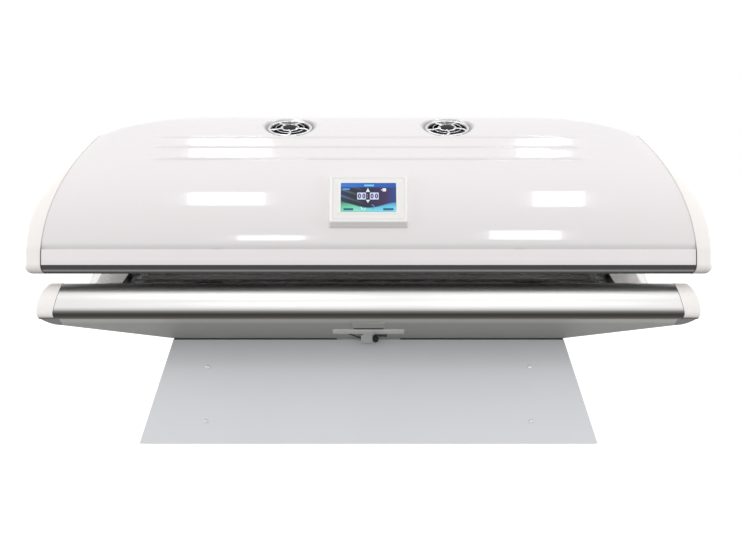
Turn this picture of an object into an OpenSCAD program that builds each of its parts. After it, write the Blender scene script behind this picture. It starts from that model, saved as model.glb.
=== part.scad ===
// Lie-down red light therapy bed with a hinged canopy.
// X runs along the bed, Y from front to back and Z up.
// The origin is on the floor under the middle of the bed.

/* [Overall] */
// Length of the canopy over its end caps
canopy_length = 1920; // [1900:5:1950]
// Width over the base rails
bed_width = 880; // [860:5:900]
// Height of the slot between the base and the closed canopy
tunnel_gap = 34; // [30:1:38]
// Furthest opening angle of the canopy
open_angle = 45; // [40:1:45]
// Seam between neighbouring covers
seam = 0.5; // [0.3:0.1:0.8]
// Clearance between parts that seat on each other
seat = 0.1; // [0.05:0.05:0.2]

/* [Pedestal] */
// Height of the pedestal from the floor to the tub
pedestal_h = 285; // [265:5:305]
// Distance of the pedestal's top ends inside the canopy's ends
pedestal_top_in = 393; // [386:1:405]
// Distance of the pedestal's top sides inside the rails' faces
pedestal_top_side = 135; // [125:1:145]
// Distance of the pedestal's foot ends inside the canopy's ends
pedestal_foot_in = 306; // [290:1:335]
// Distance of the pedestal's foot sides inside the rails' faces
pedestal_foot_side = 17; // [10:1:35]
// Sheet thickness of the pedestal panels
panel_t = 2; // [1.5:0.5:3]
// Height of the panels' lower edge above the floor
panel_lift = 3; // [2:1:6]
// Shadow gap between the pedestal panels and the tub
shadow_gap = 4; // [3:0.5:6]
// Height of the floor pads
pad_h = 8; // [7:1:12]
// Radius of the floor pads
pad_r = 25; // [20:1:30]
// Radius of a pad's stud
pad_stud_r = 5; // [4:0.5:6]
// Distance of the frame posts inside the pedestal's top ends
post_in = 101; // [80:1:115]
// Width and height of the frame's steel channels
channel_w = 40; // [32:1:44]
// Wall thickness of the channels
channel_t = 3; // [2:0.5:4]
// Height of the lower panel screws
screw_low_z = 62; // [56:1:70]
// Height of the upper panel screws
screw_high_z = 207; // [190:1:215]
// Shank radius of the panel screws
screw_r = 3; // [2:0.5:4]
// Head radius of the panel screws
screw_head_r = 6; // [5:0.5:7]
// Head height of the panel screws
screw_head_h = 2.5; // [2:0.5:3]
// Length of a panel screw's shank
screw_l = 14; // [10:1:18]
// Distance of the air slots from the middle of the back panel
louvre_x = 40; // [30:5:60]
// Number of air slots in each group on the back panel
louvre_count = 7; // [4:1:8]
// Pitch of the air slots
louvre_pitch = 14; // [12:1:16]
// Length of an air slot
louvre_len = 160; // [120:5:180]
// Height of an air slot
louvre_h = 5; // [4:0.5:6]

/* [Tub] */
// Height of the tub's leaning panels
hull_h = 82; // [76:1:88]
// Distance of the tub's end tips inside the canopy's ends
hull_in = 92; // [88:1:100]
// Rise of the tub's end panels
hull_end_rise = 54; // [50:1:57]
// Distance of the tub's upper edge inside the rail face
hull_set_in = 15; // [12:1:18]
// Sheet thickness of the tub's panels
hull_t = 2; // [1.5:0.5:2.5]
// Thickness of the tub's bottom plate
bottom_t = 3; // [2:0.5:4]

/* [Base rails and end caps] */
// Height of the base rails
rail_h = 92; // [88:1:96]
// Radius of the front rail's round face
rail_face_r = 80; // [78:1:84]
// Height of the round face's centre above the rail's foot
rail_face_z = 18; // [16:1:20]
// Wall thickness of the rails
rail_t = 3; // [2.5:0.5:3.5]
// Width of a rail at its top, from its outer side inward
rail_w = 66; // [64:1:68]
// Height of the web under a rail's inner edge
web_h = 20; // [18:1:24]
// Width of the rail's foot beyond the tub's edge
rail_foot_w = 8; // [6:1:9]
// Distance of the rails' top ends inside the canopy's ends
rail_top_in = 97; // [95:1:100]
// Distance of the rails' foot ends inside the canopy's ends
rail_foot_in = 74; // [72:1:77]
// Length of the base end cap's nose beyond the tub's tip
nose_len = 62; // [58:1:66]
// Height of the nose's widest point above the tub's tip
nose_low = 56; // [53:1:58]
// Height of the nose's upper curve
nose_up = 76.5; // [74:0.5:80]
// Wall thickness of the end caps
cap_t = 4; // [3:0.5:5]
// Length of the sloping lip at the end of the base end cap
scoop_len = 49; // [44:1:54]
// Slope of that lip
scoop_tilt = 32; // [26:1:36]

/* [Lower acrylic] */
// Depth of the lying surface's curve
trough_sag = 72; // [68:1:76]
// Depth of its edges below the rail top
trough_lip = 7; // [5:1:9]
// Thickness of the lower acrylic sheet
acrylic_t = 6; // [5:0.5:7]
// Distance of the acrylic sheets' ends inside the canopy's ends
acrylic_in = 165; // [160:1:170]
// Ledge that carries the edge of a sheet
ledge_w = 12; // [10:1:14]

/* [Lamps] */
// Number of lamps in the base, and in the canopy
lamp_count = 12; // [10:1:13]
// Radius of a lamp tube
lamp_r = 19; // [17:0.5:19.5]
// Distance of the lamps' ends inside the canopy's ends, which leaves lamps of 1500 mm
lamp_in = 210; // [208:1:215]
// Wall thickness of the glass tube
lamp_wall = 1.2; // [0.8:0.1:1.6]
// Length of a lamp's metal cap
lamp_cap_l = 15; // [12:1:18]
// Radius of the contact spigot on a lamp's cap
spigot_r = 6; // [5:0.5:7]
// Length of that spigot
spigot_l = 8; // [6:1:10]
// Depth of the lamps' centres below the lower sheet
base_lamp_drop = 31; // [29:1:31]
// Height of the lamps' centres above the upper sheet
canopy_lamp_rise = 33; // [31:1:35]
// Angle between the lower sheet's edge and its first lamp
base_lamp_margin = 4.7; // [4.2:0.1:5.2]
// Angle between the upper sheet's edge and its first lamp
canopy_lamp_margin = 8.6; // [8:0.1:9.6]
// Length of a lamp holder
holder_l = 20; // [18:1:21]
// Width of a lamp holder
holder_w = 30; // [26:1:32]
// Thickness of the reflectors
reflector_t = 1.5; // [1:0.5:2]
// Gap between the lamps and the lower reflector
base_reflector_gap = 3; // [2:0.5:3]
// Gap between the lamps and the upper reflector
canopy_reflector_gap = 6; // [4:0.5:7]
// Angle of the lower reflector beyond its outer lamps
base_reflector_over = 1.5; // [1:0.5:2]
// Angle of the upper reflector beyond its outer lamps
canopy_reflector_over = 2; // [1:0.5:2.5]
// Thickness of the steel bulkheads
bulkhead_t = 3; // [2:0.5:4]

/* [Canopy] */
// Height of the flat band along the canopy's lower edge
canopy_band_h = 70; // [66:1:74]
// Distance of the canopy's round face inside the base width
barrel_inset = 2; // [2:0.5:4]
// Height of the canopy's lower edge above the barrel's centre
barrel_drop = 14; // [12:1:16]
// Wall thickness of the canopy shell
shell_t = 4; // [3:0.5:5]
// Height of the end outline's crown above the barrel's crown
outline_rise = 3; // [2:0.5:5]
// Depth of the end outline's base below the canopy's lower edge
outline_drop = 43; // [38:1:48]
// Power of the end outline in height
outline_power_z = 3.05; // [2.8:0.05:3.3]
// Power of the end outline in length
outline_power_x = 6; // [5.5:0.1:6.5]
// Width of an end cap at the canopy's lower edge
end_cap_w = 48; // [44:1:52]
// Lean of the seam between the end cap and the shell
cap_seam_lean = 113; // [106:1:118]
// Height over which that seam leans
cap_seam_h = 361; // [350:1:370]
// Power of that seam's curve
cap_seam_power = 2.4; // [2.2:0.1:2.6]
// Radius of the canopy's lower outer edge
foot_r = 8; // [6:1:10]
// Wall thickness of the canopy rails
canopy_rail_t = 3; // [2.5:0.5:3.5]
// Width of the canopy rails' lower face
canopy_lip_w = 45; // [42:1:47]
// Height of the trim strip above the canopy's lower edge
trim_z = 8; // [8:0.5:11]
// Height of the trim strip
trim_h = 17; // [14:1:19]
// Thickness of the trim strip
trim_t = 2; // [1.5:0.5:2]
// Height of the upper sheet's crown above the canopy's lower edge
arch_rise = 237; // [230:1:242]
// Height of the upper sheet's edges above that lower edge
arch_edge = 12; // [11:1:14]
// Thickness of the upper acrylic sheet
arch_t = 5; // [4:0.5:6]
// Angles of the styling ribs, from the crown towards the front
rib_angles = [29.4, 35.8, 42.6];
// Distance of the styling ribs' ends inside the canopy's ends
rib_in = 320; // [290:5:360]
// Radius of a rib
rib_r = 4; // [3.5:0.5:5]
// Height of a rib above the shell
rib_proud = 2.5; // [1.5:0.5:3]
// Distance of the steel hoops from the middle of the bed
hoop_x = 420; // [390:5:450]
// Width of a hoop
hoop_w = 30; // [24:1:36]
// Depth of a hoop
hoop_d = 10; // [8:1:14]

/* [Fans] */
// Distance of each fan from the middle of the bed
fan_x = 234; // [220:2:250]
// Tilt of the fans towards the front
fan_tilt = 18; // [16:1:20]
// Radius of the hole for a fan in the shell
fan_hole_r = 80; // [76:1:82]
// Wall of the ring that lines the hole
fan_ring_t = 4; // [3:0.5:5]
// Width of the ring's flange under the shell
fan_flange_w = 12; // [10:1:14]
// Depth of the chrome guard below the shell
fan_sink = 10; // [8:1:12]
// Thickness of the guard
guard_t = 4; // [3:0.5:5]
// Width of the guard's rim
guard_rim_w = 9; // [8:1:11]
// Number of spokes on a guard
spoke_count = 5; // [4:1:6]
// Width of a spoke
spoke_w = 7; // [6:0.5:9]
// Radius of a guard's boss
guard_boss_r = 17; // [15:1:20]
// Side of the fan housing
fan_body_w = 150; // [146:1:152]
// Depth of the fan housing
fan_body_h = 38; // [34:1:42]
// Radius of the fan duct
fan_bore_r = 66; // [62:1:67]
// Radius of a rotor's hub
hub_r = 24; // [20:1:26]
// Number of blades on a rotor
blade_count = 7; // [5:1:9]
// Gap between the blades and the duct
blade_gap = 2; // [1.5:0.5:3]
// Width of a blade
blade_chord = 30; // [24:1:32]
// Pitch of the blades
blade_pitch = 32; // [25:1:36]
// Thickness of a blade
blade_t = 2.5; // [1.5:0.5:3]
// Radius of the housing's bearing boss
fan_boss_r = 20; // [16:1:24]
// Height of that boss
fan_boss_h = 14; // [10:1:16]
// Thickness of the lip under the guard
fan_lip_t = 3; // [2:0.5:4]
// Radius of a rotor's shaft
fan_shaft_r = 4; // [3:0.5:5]

/* [Display] */
// Tilt of the control panel from level
display_tilt = 61; // [59:1:63]
// Length of the panel's frame
bezel_w = 221; // [212:1:230]
// Height of the panel's frame
bezel_h = 155; // [148:1:160]
// Corner radius of the frame
bezel_r = 12; // [8:1:16]
// Height of the frame over the shell at its middle
bezel_proud = 8; // [7:0.5:10]
// Length of the glass
screen_w = 168; // [160:1:176]
// Height of the glass
screen_h = 100; // [94:1:106]
// Thickness of the glass
screen_t = 4; // [3:0.5:4]
// Height of the glass above the middle of the frame
screen_up = 9; // [6:1:12]
// Length of the control board's case
board_w = 140; // [130:1:144]
// Height of that case
board_h = 80; // [76:1:84]
// Depth of that case
board_d = 30; // [26:1:34]
// Clearance around the case in the shell
board_gap = 6; // [4:1:8]
// Depth of the frame behind the shell's highest line
frame_skirt = 14; // [12:1:16]
// Length of the slot for the wires behind the glass
wire_slot_w = 40; // [30:1:50]
// Height of that slot
wire_slot_h = 20; // [14:1:24]

/* [Hinges] */
// Distance of the hinges inside the canopy's ends
hinge_end_in = 400; // [380:5:420]
// Distance of the hinge axis inside the bed's back
hinge_in = 15; // [14:1:18]
// Radius of a hinge pin
pin_r = 4; // [3.5:0.5:5]
// Running clearance around a pin
pin_play = 0.05; // [0.03:0.01:0.08]
// Radius of a hinge knuckle
knuckle_r = 9; // [8:0.5:10]
// Length of the middle knuckle
knuckle_l = 40; // [34:1:46]
// Length of an outer knuckle
outer_knuckle_l = 24; // [20:1:28]
// Side gap between knuckles
knuckle_gap = 0.5; // [0.4:0.1:1]
// Thickness of a hinge leaf
leaf_t = 4; // [3:0.5:5]
// Width of a hinge leaf
leaf_w = 36; // [32:1:38]
// Width of the web between leaf and knuckle
web_w = 12; // [10:1:14]

/* [Gas struts] */
// Distance of the struts inside the canopy's ends
strut_in = 135; // [132:1:139]
// Distance of the strut's lower stud in front of the hinge axis
strut_low_y = 145; // [142:1:147]
// Distance of the lower stud below the hinge axis
strut_low_z = 104; // [102:1:106]
// Distance of the strut's upper stud in front of the hinge axis
strut_high_y = 55; // [54:0.5:56]
// Height of the upper stud above the hinge axis
strut_high_z = 84; // [83:0.5:86]
// Radius of the gas cylinder
strut_r = 10; // [9:0.5:10.5]
// Wall thickness of the gas cylinder
strut_wall = 2; // [1.5:0.5:2.5]
// Length of the gas cylinder
strut_tube_l = 126; // [122:1:130]
// Radius of the rod
rod_r = 4; // [3.5:0.5:5]
// Radius of the studs
stud_r = 4; // [3.5:0.5:4.5]
// Radius of the hole in the strut's upper eye
top_eye_bore = 7.7; // [7.5:0.1:8]
// Outer radius of the eyes
eye_r = 11.5; // [11:0.5:12]
// Thickness of the eyes
eye_t = 12; // [10:1:14]
// Radius of the spacers and heads on the studs
spacer_r = 7; // [6:0.5:7.5]
// Length of the gland and of the piston
gland_l = 8; // [6:1:10]
// Distance from the lower eye to the piston
piston_y = 24; // [20:1:30]
// Clearance around a strut in its slots
slot_clear = 7; // [6:0.5:8]

/* [Panel latch] */
// Length of the strip on the tub's front panel
strip_len = 206; // [180:2:220]
// Width of that strip along the slope
strip_w = 29; // [26:1:32]
// Distance of the strip from the panel's lower edge along the slope
strip_up = 38; // [34:1:40]
// Thickness of the strip
strip_t = 2.5; // [2:0.5:3]
// Length of the finger pull
pull_len = 92; // [80:1:100]
// Width of the finger pull along the slope
pull_w = 50; // [46:1:52]
// Distance of the finger pull above the strip
pull_gap = 4; // [3:0.5:6]
// Standoff of the finger pull's free edge
pull_proud = 12; // [10:0.5:14]
// Length of the latch's block
latch_w = 33; // [28:1:36]
// Height of the latch's block
latch_h = 24; // [22:1:26]
// Height of the block's foot below the tub's bottom
latch_drop = 8; // [6:1:10]
// Depth of the block in front of the tub's lower edge
latch_d = 26; // [24:1:30]
// Distance of the knob's axis from the middle of the bed
knob_x = 20.5; // [19:0.5:23]
// Radius of the knob
knob_r = 9; // [8:0.5:9.5]
// Depth of the knob
knob_d = 12; // [10:1:14]
// Radius of the knob's shaft
knob_shaft_r = 3; // [2.5:0.5:4]
// Radius of the boss behind the knob
knob_boss_r = 6.5; // [6:0.5:7]
// Distance of the knob's back in front of the tub's lower edge
knob_reach = 17; // [16:0.5:18]
// Width of the grip on the knob
grip_w = 4; // [3:0.5:5]

/* [Mains and electrics] */
// Distance of the mains inlet from the frame post beside it
inlet_in = 86; // [80:1:100]
// Height of the mains inlet
inlet_z = 120; // [100:5:140]
// Length of the inlet's flange
inlet_w = 96; // [90:1:104]
// Height of the inlet's flange
inlet_h = 40; // [36:1:44]
// Depth of the inlet's body
inlet_d = 30; // [26:1:36]
// Thickness of the inlet's flange
flange_t = 3; // [2:0.5:4]
// Margin of the flange around the inlet's body
flange_in = 6; // [5:0.5:7]
// Length of the socket's recess
socket_w = 27; // [25:0.5:28]
// Height of the socket's recess
socket_h = 19; // [18:0.5:20]
// Depth of the socket's recess
socket_d = 20; // [16:1:22]
// Length of the mains rocker
rocker_w = 22; // [20:1:24]
// Height of the mains rocker
rocker_h = 28; // [26:1:30]
// Travel of the rocker to its other side
rocker_travel = 16; // [12:1:20]
// Thickness of the rocker
rocker_t = 9; // [8:0.5:10]
// Radius of the rocker's pivot pins
rocker_pin_r = 1.5; // [1:0.25:2]
// Length of a pivot pin beyond the rocker's side
rocker_pin_l = 2; // [1.5:0.5:2.5]
// Depth of the rocker's axis behind the flange
rocker_depth = 2; // [1:0.5:3]
// Wall thickness of the supply case
case_t = 1.5; // [1:0.5:2]
// Length of the supply case under the tub
supply_w = 320; // [280:5:360]
// Width of that case
supply_d = 220; // [200:5:260]
// Height of that case
supply_h = 110; // [90:5:130]
// Length of a ballast
ballast_w = 230; // [200:5:260]
// Width of a ballast
ballast_d = 60; // [50:1:70]
// Height of a ballast
ballast_h = 28; // [24:1:30]
// Distance between the rows of ballasts
ballast_pitch = 110; // [100:5:120]
// Gap between neighbouring ballasts in a row
ballast_gap = 60; // [40:5:70]
// Angle of the canopy's ballasts behind the crown
ballast_a = 14; // [12:1:18]

/* [Hidden] */
$fn = 96;
wide_fn = 240;
small_fn = 48;
joint_cut = 1;
far = 3000;
below = 10;
// Heights of the main levels
half_w = bed_width / 2;
tub_z = pedestal_h;
rail_z = tub_z + hull_h;
base_top = rail_z + rail_h;
canopy_z = base_top + tunnel_gap;
band_top = canopy_z + canopy_band_h;
barrel_z = canopy_z - barrel_drop;
barrel_r = half_w - barrel_inset;
band_y = sqrt(pow(barrel_r, 2) - pow(band_top - barrel_z, 2));
// Pedestal
top_x = canopy_length / 2 - pedestal_top_in;
top_y = half_w - pedestal_top_side;
foot_x = canopy_length / 2 - pedestal_foot_in;
foot_y = half_w - pedestal_foot_side;
post_x = top_x - post_in;
panel_top = pedestal_h - shadow_gap;
panel_lean = atan((foot_y - top_y) / pedestal_h);
screw_hole_r = screw_r + 0.2;
long_channel_y = supply_d / 2 + channel_w;
// Tub
hull_y = half_w - hull_set_in;
hull_x = canopy_length / 2 - hull_in;
hull_slant = norm([hull_y - top_y, hull_h]);
hull_lean = atan((hull_y - top_y) / hull_h);
tip_z = tub_z + hull_end_rise;
// Rails and end caps of the base
rail_face_y = half_w - rail_face_r;
rail_face_cz = rail_z + rail_face_z;
rail_in_y = half_w - rail_w;
rail_top_x = canopy_length / 2 - rail_top_in;
rail_foot_x = canopy_length / 2 - rail_foot_in;
nose_z = tip_z + nose_low;
nose_x = hull_x + nose_len;
scoop_x = nose_x - scoop_len;
// Lower sheet
trough_y = rail_in_y - 2;
trough_r = (pow(trough_y, 2) + pow(trough_sag, 2)) / (2 * trough_sag);
trough_low = base_top - trough_lip - trough_sag;
trough_cz = trough_low + trough_r;
sheet_x = canopy_length / 2 - acrylic_in;
// Upper sheet
arch_y = band_y - canopy_lip_w;
arch_sag = arch_rise - arch_edge;
arch_r = (pow(arch_y, 2) + pow(arch_sag, 2)) / (2 * arch_sag);
arch_cz = canopy_z + arch_rise - arch_r;
// Lamps
base_lamp_r = trough_r + base_lamp_drop;
canopy_lamp_r = arch_r + canopy_lamp_rise;
base_lamp_a = asin(trough_y / trough_r) - base_lamp_margin;
canopy_lamp_a = asin(arch_y / arch_r) - canopy_lamp_margin;
base_reflector_r = base_lamp_r + lamp_r + base_reflector_gap;
canopy_reflector_r = canopy_lamp_r + lamp_r + canopy_reflector_gap;
base_reflector_a = base_lamp_a + base_reflector_over;
canopy_reflector_a = canopy_lamp_a + canopy_reflector_over;
lamp_x = canopy_length / 2 - lamp_in;
bulkhead_x = lamp_x + holder_l;
// Canopy outline
outline_z = canopy_z - outline_drop;
outline_h = barrel_z + barrel_r + outline_rise - outline_z;
canopy_x = canopy_length / 2;
rib_x = canopy_x - rib_in;
arch_a = asin(arch_y / arch_r);
outline_t0 = asin(pow((outline_drop - below) / outline_h, outline_power_z / 2));
outline_steps = 30;
seam_steps = 20;
nose_steps = 16;
// Hinges and struts
hinge_x = canopy_length / 2 - hinge_end_in;
strut_x = canopy_length / 2 - strut_in;
hinge_y = half_w - hinge_in;
hinge_z = base_top + tunnel_gap / 2;
hinge_len = knuckle_l + 2 * (outer_knuckle_l + knuckle_gap);
low_y = hinge_y - strut_low_y;
low_z = hinge_z - strut_low_z;
high_y = hinge_y - strut_high_y;
high_z = hinge_z + strut_high_z;
strut_len = norm([high_y - low_y, high_z - low_z]);
strut_a = atan2(high_z - low_z, high_y - low_y);
open_high = turned([high_y, high_z], open_angle);
strut_open_a = atan2(open_high[1] - low_z, open_high[0] - low_y);
stud_reach = strut_x + eye_t / 2 + 1;
tube_y = eye_r - 3;
base_slot_y0 = low_y + (trough_z(low_y + strut_r) - low_z) / tan(strut_a) - strut_r - slot_clear;
base_slot_y1 = low_y + (trough_z(trough_y - slot_clear) - low_z) / tan(strut_open_a) + strut_r + slot_clear;
reach_z = high_z + 2 * eye_r;
canopy_slot_y0 = high_y - 2 * strut_r - slot_clear;
canopy_slot_y1 = high_y + 2 * strut_r;
// Latch and mains
inlet_x = post_x - inlet_in;
latch_x0 = knob_x - knob_r - seam - latch_w;
knob_z = tub_z + 2;
knob_back = top_y + knob_reach;
knob_shaft_l = knob_reach - knob_r;
inlet_body_w = inlet_w - 2 * flange_in;
inlet_body_h = inlet_h - flange_in;
rocker_off = inlet_body_w / 4 + 4;
rocker_room = 14;
rocker_z = -rocker_depth;
rocker_pin_x = rocker_w / 2 + rocker_pin_l;
// Fans
guard_z = -fan_sink - guard_t;
ring_z = guard_z - fan_lip_t;

// A point turned about the hinge axis by an opening angle
function turned(p, a) = [
    hinge_y + (p[0] - hinge_y) * cos(a) + (p[1] - hinge_z) * sin(a),
    hinge_z - (p[0] - hinge_y) * sin(a) + (p[1] - hinge_z) * cos(a)];
// Height over the floor to the pedestal's half width and half length
function pedestal_y(z) = foot_y + (top_y - foot_y) * z / pedestal_h;
function pedestal_x(z) = foot_x + (top_x - foot_x) * z / pedestal_h;
// Height of the lying surface, and half the shell's length at a height
function trough_z(y) = trough_cz - sqrt(pow(trough_r, 2) - pow(y, 2));
function seam_x(z) = canopy_x - end_cap_w
    - cap_seam_lean * pow(max(0, (z - canopy_z) / cap_seam_h), cap_seam_power);

module along_x(len) {
    rotate([90, 0, 90]) linear_extrude(len, center = true) children();
}
module along_y(len) {
    rotate([90, 0, 0]) linear_extrude(len, center = true) children();
}
// A plate of thickness t on the left of the line from a to b
module plate_2d(a, b, t) {
    n = t * [a[1] - b[1], b[0] - a[0]] / norm(b - a);
    polygon([a, b, b + n, a + n]);
}
module both_ends() {
    children();
    mirror([1, 0, 0]) children();
}
module both_sides() {
    children();
    mirror([0, 1, 0]) children();
}
module rounded_2d(w, h, r) {
    square([w - 2 * r, h], center = true);
    square([w, h - 2 * r], center = true);
    for (x = [-1, 1], y = [-1, 1])
        translate([x * (w / 2 - r), y * (h / 2 - r)]) circle(r, $fn = small_fn);
}
// Part of a round sheet of radii r0 and r1, within an angle a of straight up
module arch_2d(r0, r1, a) {
    intersection() {
        difference() {
            circle(r1, $fn = wide_fn);
            circle(r0, $fn = wide_fn);
        }
        polygon([[0, 0], [-far * sin(a), far * cos(a)], [far * sin(a), far * cos(a)]]);
    }
}
// A cylinder along X, centred on a point of the cross-section
module log_x(y, z, r, len) {
    translate([0, y, z]) rotate([0, 90, 0]) cylinder(r = r, h = len, center = true, $fn = wide_fn);
}
module rod_x(r, x0, x1) {
    translate([x0, 0, 0]) rotate([0, 90, 0]) cylinder(r = r, h = x1 - x0, $fn = small_fn);
}

// Pedestal
module pedestal_solid(i, z0, z1) {
    intersection() {
        along_x(far) polygon([
            [i - pedestal_y(z0), z0], [pedestal_y(z0) - i, z0],
            [pedestal_y(z1) - i, z1], [i - pedestal_y(z1), z1]]);
        along_y(far) polygon([
            [i - pedestal_x(z0), z0], [pedestal_x(z0) - i, z0],
            [pedestal_x(z1) - i, z1], [i - pedestal_x(z1), z1]]);
    }
}
// The leaning layer behind the front face, between two depths
module front_layer(len, i0, i1, z0, z1) {
    along_x(len) polygon([
        [i0 - pedestal_y(z0), z0], [i1 - pedestal_y(z0), z0],
        [i1 - pedestal_y(z1), z1], [i0 - pedestal_y(z1), z1]]);
}
module on_front(x, z) {
    translate([x, -pedestal_y(z), z]) rotate([90 - panel_lean, 0, 0]) children();
}
module on_back(x, z) {
    mirror([0, 1, 0]) on_front(x, z) children();
}
module at_panel_screws() {
    for (x = [-post_x, post_x], z = [screw_low_z, screw_high_z]) on_front(x, z) children();
}
module front_sheet() {
    difference() {
        intersection() {
            pedestal_solid(0, panel_lift, panel_top);
            front_layer(far, 0, panel_t, panel_lift, panel_top);
        }
        at_panel_screws() cylinder(r = screw_hole_r, h = 4 * panel_t, center = true, $fn = small_fn);
    }
}
module pedestal_front_panel() {
    color("gainsboro") front_sheet();
}
module pedestal_back_panel() {
    color("gainsboro") difference() {
        mirror([0, 1, 0]) front_sheet();
        on_back(inlet_x, inlet_z) translate([0, 0, -panel_t]) linear_extrude(3 * panel_t, center = true)
            square([inlet_body_w + 1, inlet_body_h + 1], center = true);
        for (s = [-1, 1], k = [0 : louvre_count - 1])
            on_back(s * (louvre_len / 2 + louvre_x), inlet_z + (k - (louvre_count - 1) / 2) * louvre_pitch)
                cube([louvre_len, louvre_h, 6 * panel_t], center = true);
    }
}
module side_sheet() {
    intersection() {
        pedestal_solid(0, panel_lift, panel_top);
        along_x(far) polygon([
            [panel_t + seat - pedestal_y(panel_lift), panel_lift],
            [pedestal_y(panel_lift) - panel_t - seat, panel_lift],
            [pedestal_y(panel_top) - panel_t - seat, panel_top],
            [panel_t + seat - pedestal_y(panel_top), panel_top]]);
        along_y(far) polygon([
            [pedestal_x(panel_lift) - panel_t, panel_lift], [pedestal_x(panel_lift), panel_lift],
            [pedestal_x(panel_top), panel_top], [pedestal_x(panel_top) - panel_t, panel_top]]);
    }
}
module pedestal_right_panel() {
    color("gainsboro") side_sheet();
}
module pedestal_left_panel() {
    color("gainsboro") mirror([1, 0, 0]) side_sheet();
}
module channel_2d() {
    difference() {
        square([channel_w, channel_w], center = true);
        translate([0, channel_t]) square([channel_w - 2 * channel_t, channel_w], center = true);
    }
}
module frame_post() {
    inside = panel_t + seat;
    difference() {
        front_layer(channel_w, inside, inside + channel_w, pad_h, pedestal_h);
        front_layer(channel_w - 2 * channel_t, inside + channel_t, inside + 2 * channel_w,
            pad_h + channel_t, pedestal_h - channel_t);
    }
}
module pedestal_frame() {
    color("dimgray") difference() {
        union() {
            both_ends() translate([post_x, 0, 0]) both_sides() frame_post();
            intersection() {
                pedestal_solid(panel_t + seat, pad_h, pedestal_h);
                both_ends() translate([post_x, 0, 0]) {
                    translate([0, 0, pad_h + channel_w / 2]) along_y(far) channel_2d();
                    translate([0, 0, pedestal_h - channel_w / 2]) along_y(far) mirror([0, 1]) channel_2d();
                }
            }
            both_sides() translate([0, long_channel_y, pedestal_h - channel_w / 2])
                along_x(2 * top_x - 4 * panel_t) mirror([0, 1]) channel_2d();
        }
        at_panel_screws() screw_bores();
        mirror([0, 1, 0]) at_panel_screws() screw_bores();
        at_pads() cylinder(r = pad_stud_r + seat, h = far, center = true, $fn = small_fn);
    }
}
module screw_bores() {
    cylinder(r = screw_r + seat / 2, h = 2 * screw_l, center = true, $fn = small_fn);
}
module screw() {
    translate([0, 0, -screw_l]) cylinder(r = screw_r, h = screw_l, $fn = small_fn);
    difference() {
        cylinder(r = screw_head_r, h = screw_head_h, $fn = small_fn);
        translate([0, 0, screw_head_h / 2]) cylinder(r = screw_head_r / 2, h = screw_head_h, $fn = 6);
    }
}
module pedestal_screws() {
    color("silver") {
        at_panel_screws() screw();
        mirror([0, 1, 0]) at_panel_screws() screw();
    }
}
module at_pads() {
    for (x = [-post_x, post_x], s = [-1, 1])
        translate([x, s * (foot_y - panel_t - channel_w - pad_r), 0]) children();
}
module floor_pads() {
    color("black") at_pads() {
        cylinder(r = pad_r, h = pad_h, $fn = small_fn);
        cylinder(r = pad_stud_r, h = pad_h + 3 * channel_t, $fn = small_fn);
    }
}

// Mains supply
module supply_case() {
    color("silver") difference() {
        translate([-supply_w / 2, -supply_d / 2, pedestal_h - supply_h])
            cube([supply_w, supply_d, supply_h]);
        translate([0, 0, pedestal_h - supply_h / 2 + case_t])
            cube([supply_w - 2 * case_t, supply_d - 2 * case_t, supply_h], center = true);
    }
}
module mains_inlet() {
    color("black") on_back(inlet_x, inlet_z) difference() {
        union() {
            linear_extrude(flange_t) rounded_2d(inlet_w, inlet_h, 4);
            translate([0, 0, -inlet_d / 2])
                cube([inlet_body_w, inlet_body_h, inlet_d], center = true);
        }
        translate([-inlet_body_w / 4, 0, flange_t]) difference() {
            cube([socket_w, socket_h, 2 * socket_d], center = true);
            for (p = [[-7, -2], [7, -2], [0, 3]])
                translate([p[0], p[1], -socket_d]) cube([2, 4, socket_d], center = true);
        }
        translate([rocker_off, 0, 0]) {
            cube([rocker_w + 1, rocker_h + 2, 2 * rocker_room], center = true);
            translate([0, 0, rocker_z])
                rod_x(rocker_pin_r + pin_play, -rocker_pin_x - seam, rocker_pin_x + seam);
        }
    }
}
module mains_switch() {
    color("firebrick") on_back(inlet_x, inlet_z) translate([rocker_off, 0, rocker_z])
        rotate([-rocker_travel / 2, 0, 0]) {
            cube([rocker_w, rocker_h - 1, rocker_t], center = true);
            rod_x(rocker_pin_r, -rocker_pin_x, rocker_pin_x);
        }
}

// Tub
module hull_outline_2d(up, top) {
    polygon([
        [-top_x, tub_z + up], [top_x, tub_z + up], [hull_x, tip_z + up],
        [hull_x, top], [-hull_x, top], [-hull_x, tip_z + up]]);
}
module hull_section_2d(i) {
    in = i * hull_slant / hull_h;
    polygon([
        [in - top_y, tub_z], [top_y - in, tub_z],
        [hull_y - in, rail_z], [hull_y - in, rail_z + i + joint_cut],
        [in - hull_y, rail_z + i + joint_cut], [in - hull_y, rail_z]]);
}
module on_hull() {
    translate([0, -top_y, tub_z]) rotate([90 + hull_lean, 0, 0]) children();
}
module hull_front_sheet() {
    intersection() {
        along_x(far) plate_2d([-hull_y, rail_z], [-top_y, tub_z], hull_t);
        along_y(far) hull_outline_2d(0, rail_z);
    }
}
module tub_front_panel() {
    color("darkgray") hull_front_sheet();
}
module tub_back_panel() {
    color("darkgray") mirror([0, 1, 0]) hull_front_sheet();
}
module hull_end_sheet() {
    intersection() {
        along_y(far) plate_2d([top_x, tub_z], [hull_x, tip_z], hull_t);
        along_x(far) hull_section_2d(hull_t + seat);
    }
}
module tub_right_panel() {
    color("darkgray") hull_end_sheet();
}
module tub_left_panel() {
    color("darkgray") mirror([1, 0, 0]) hull_end_sheet();
}
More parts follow.
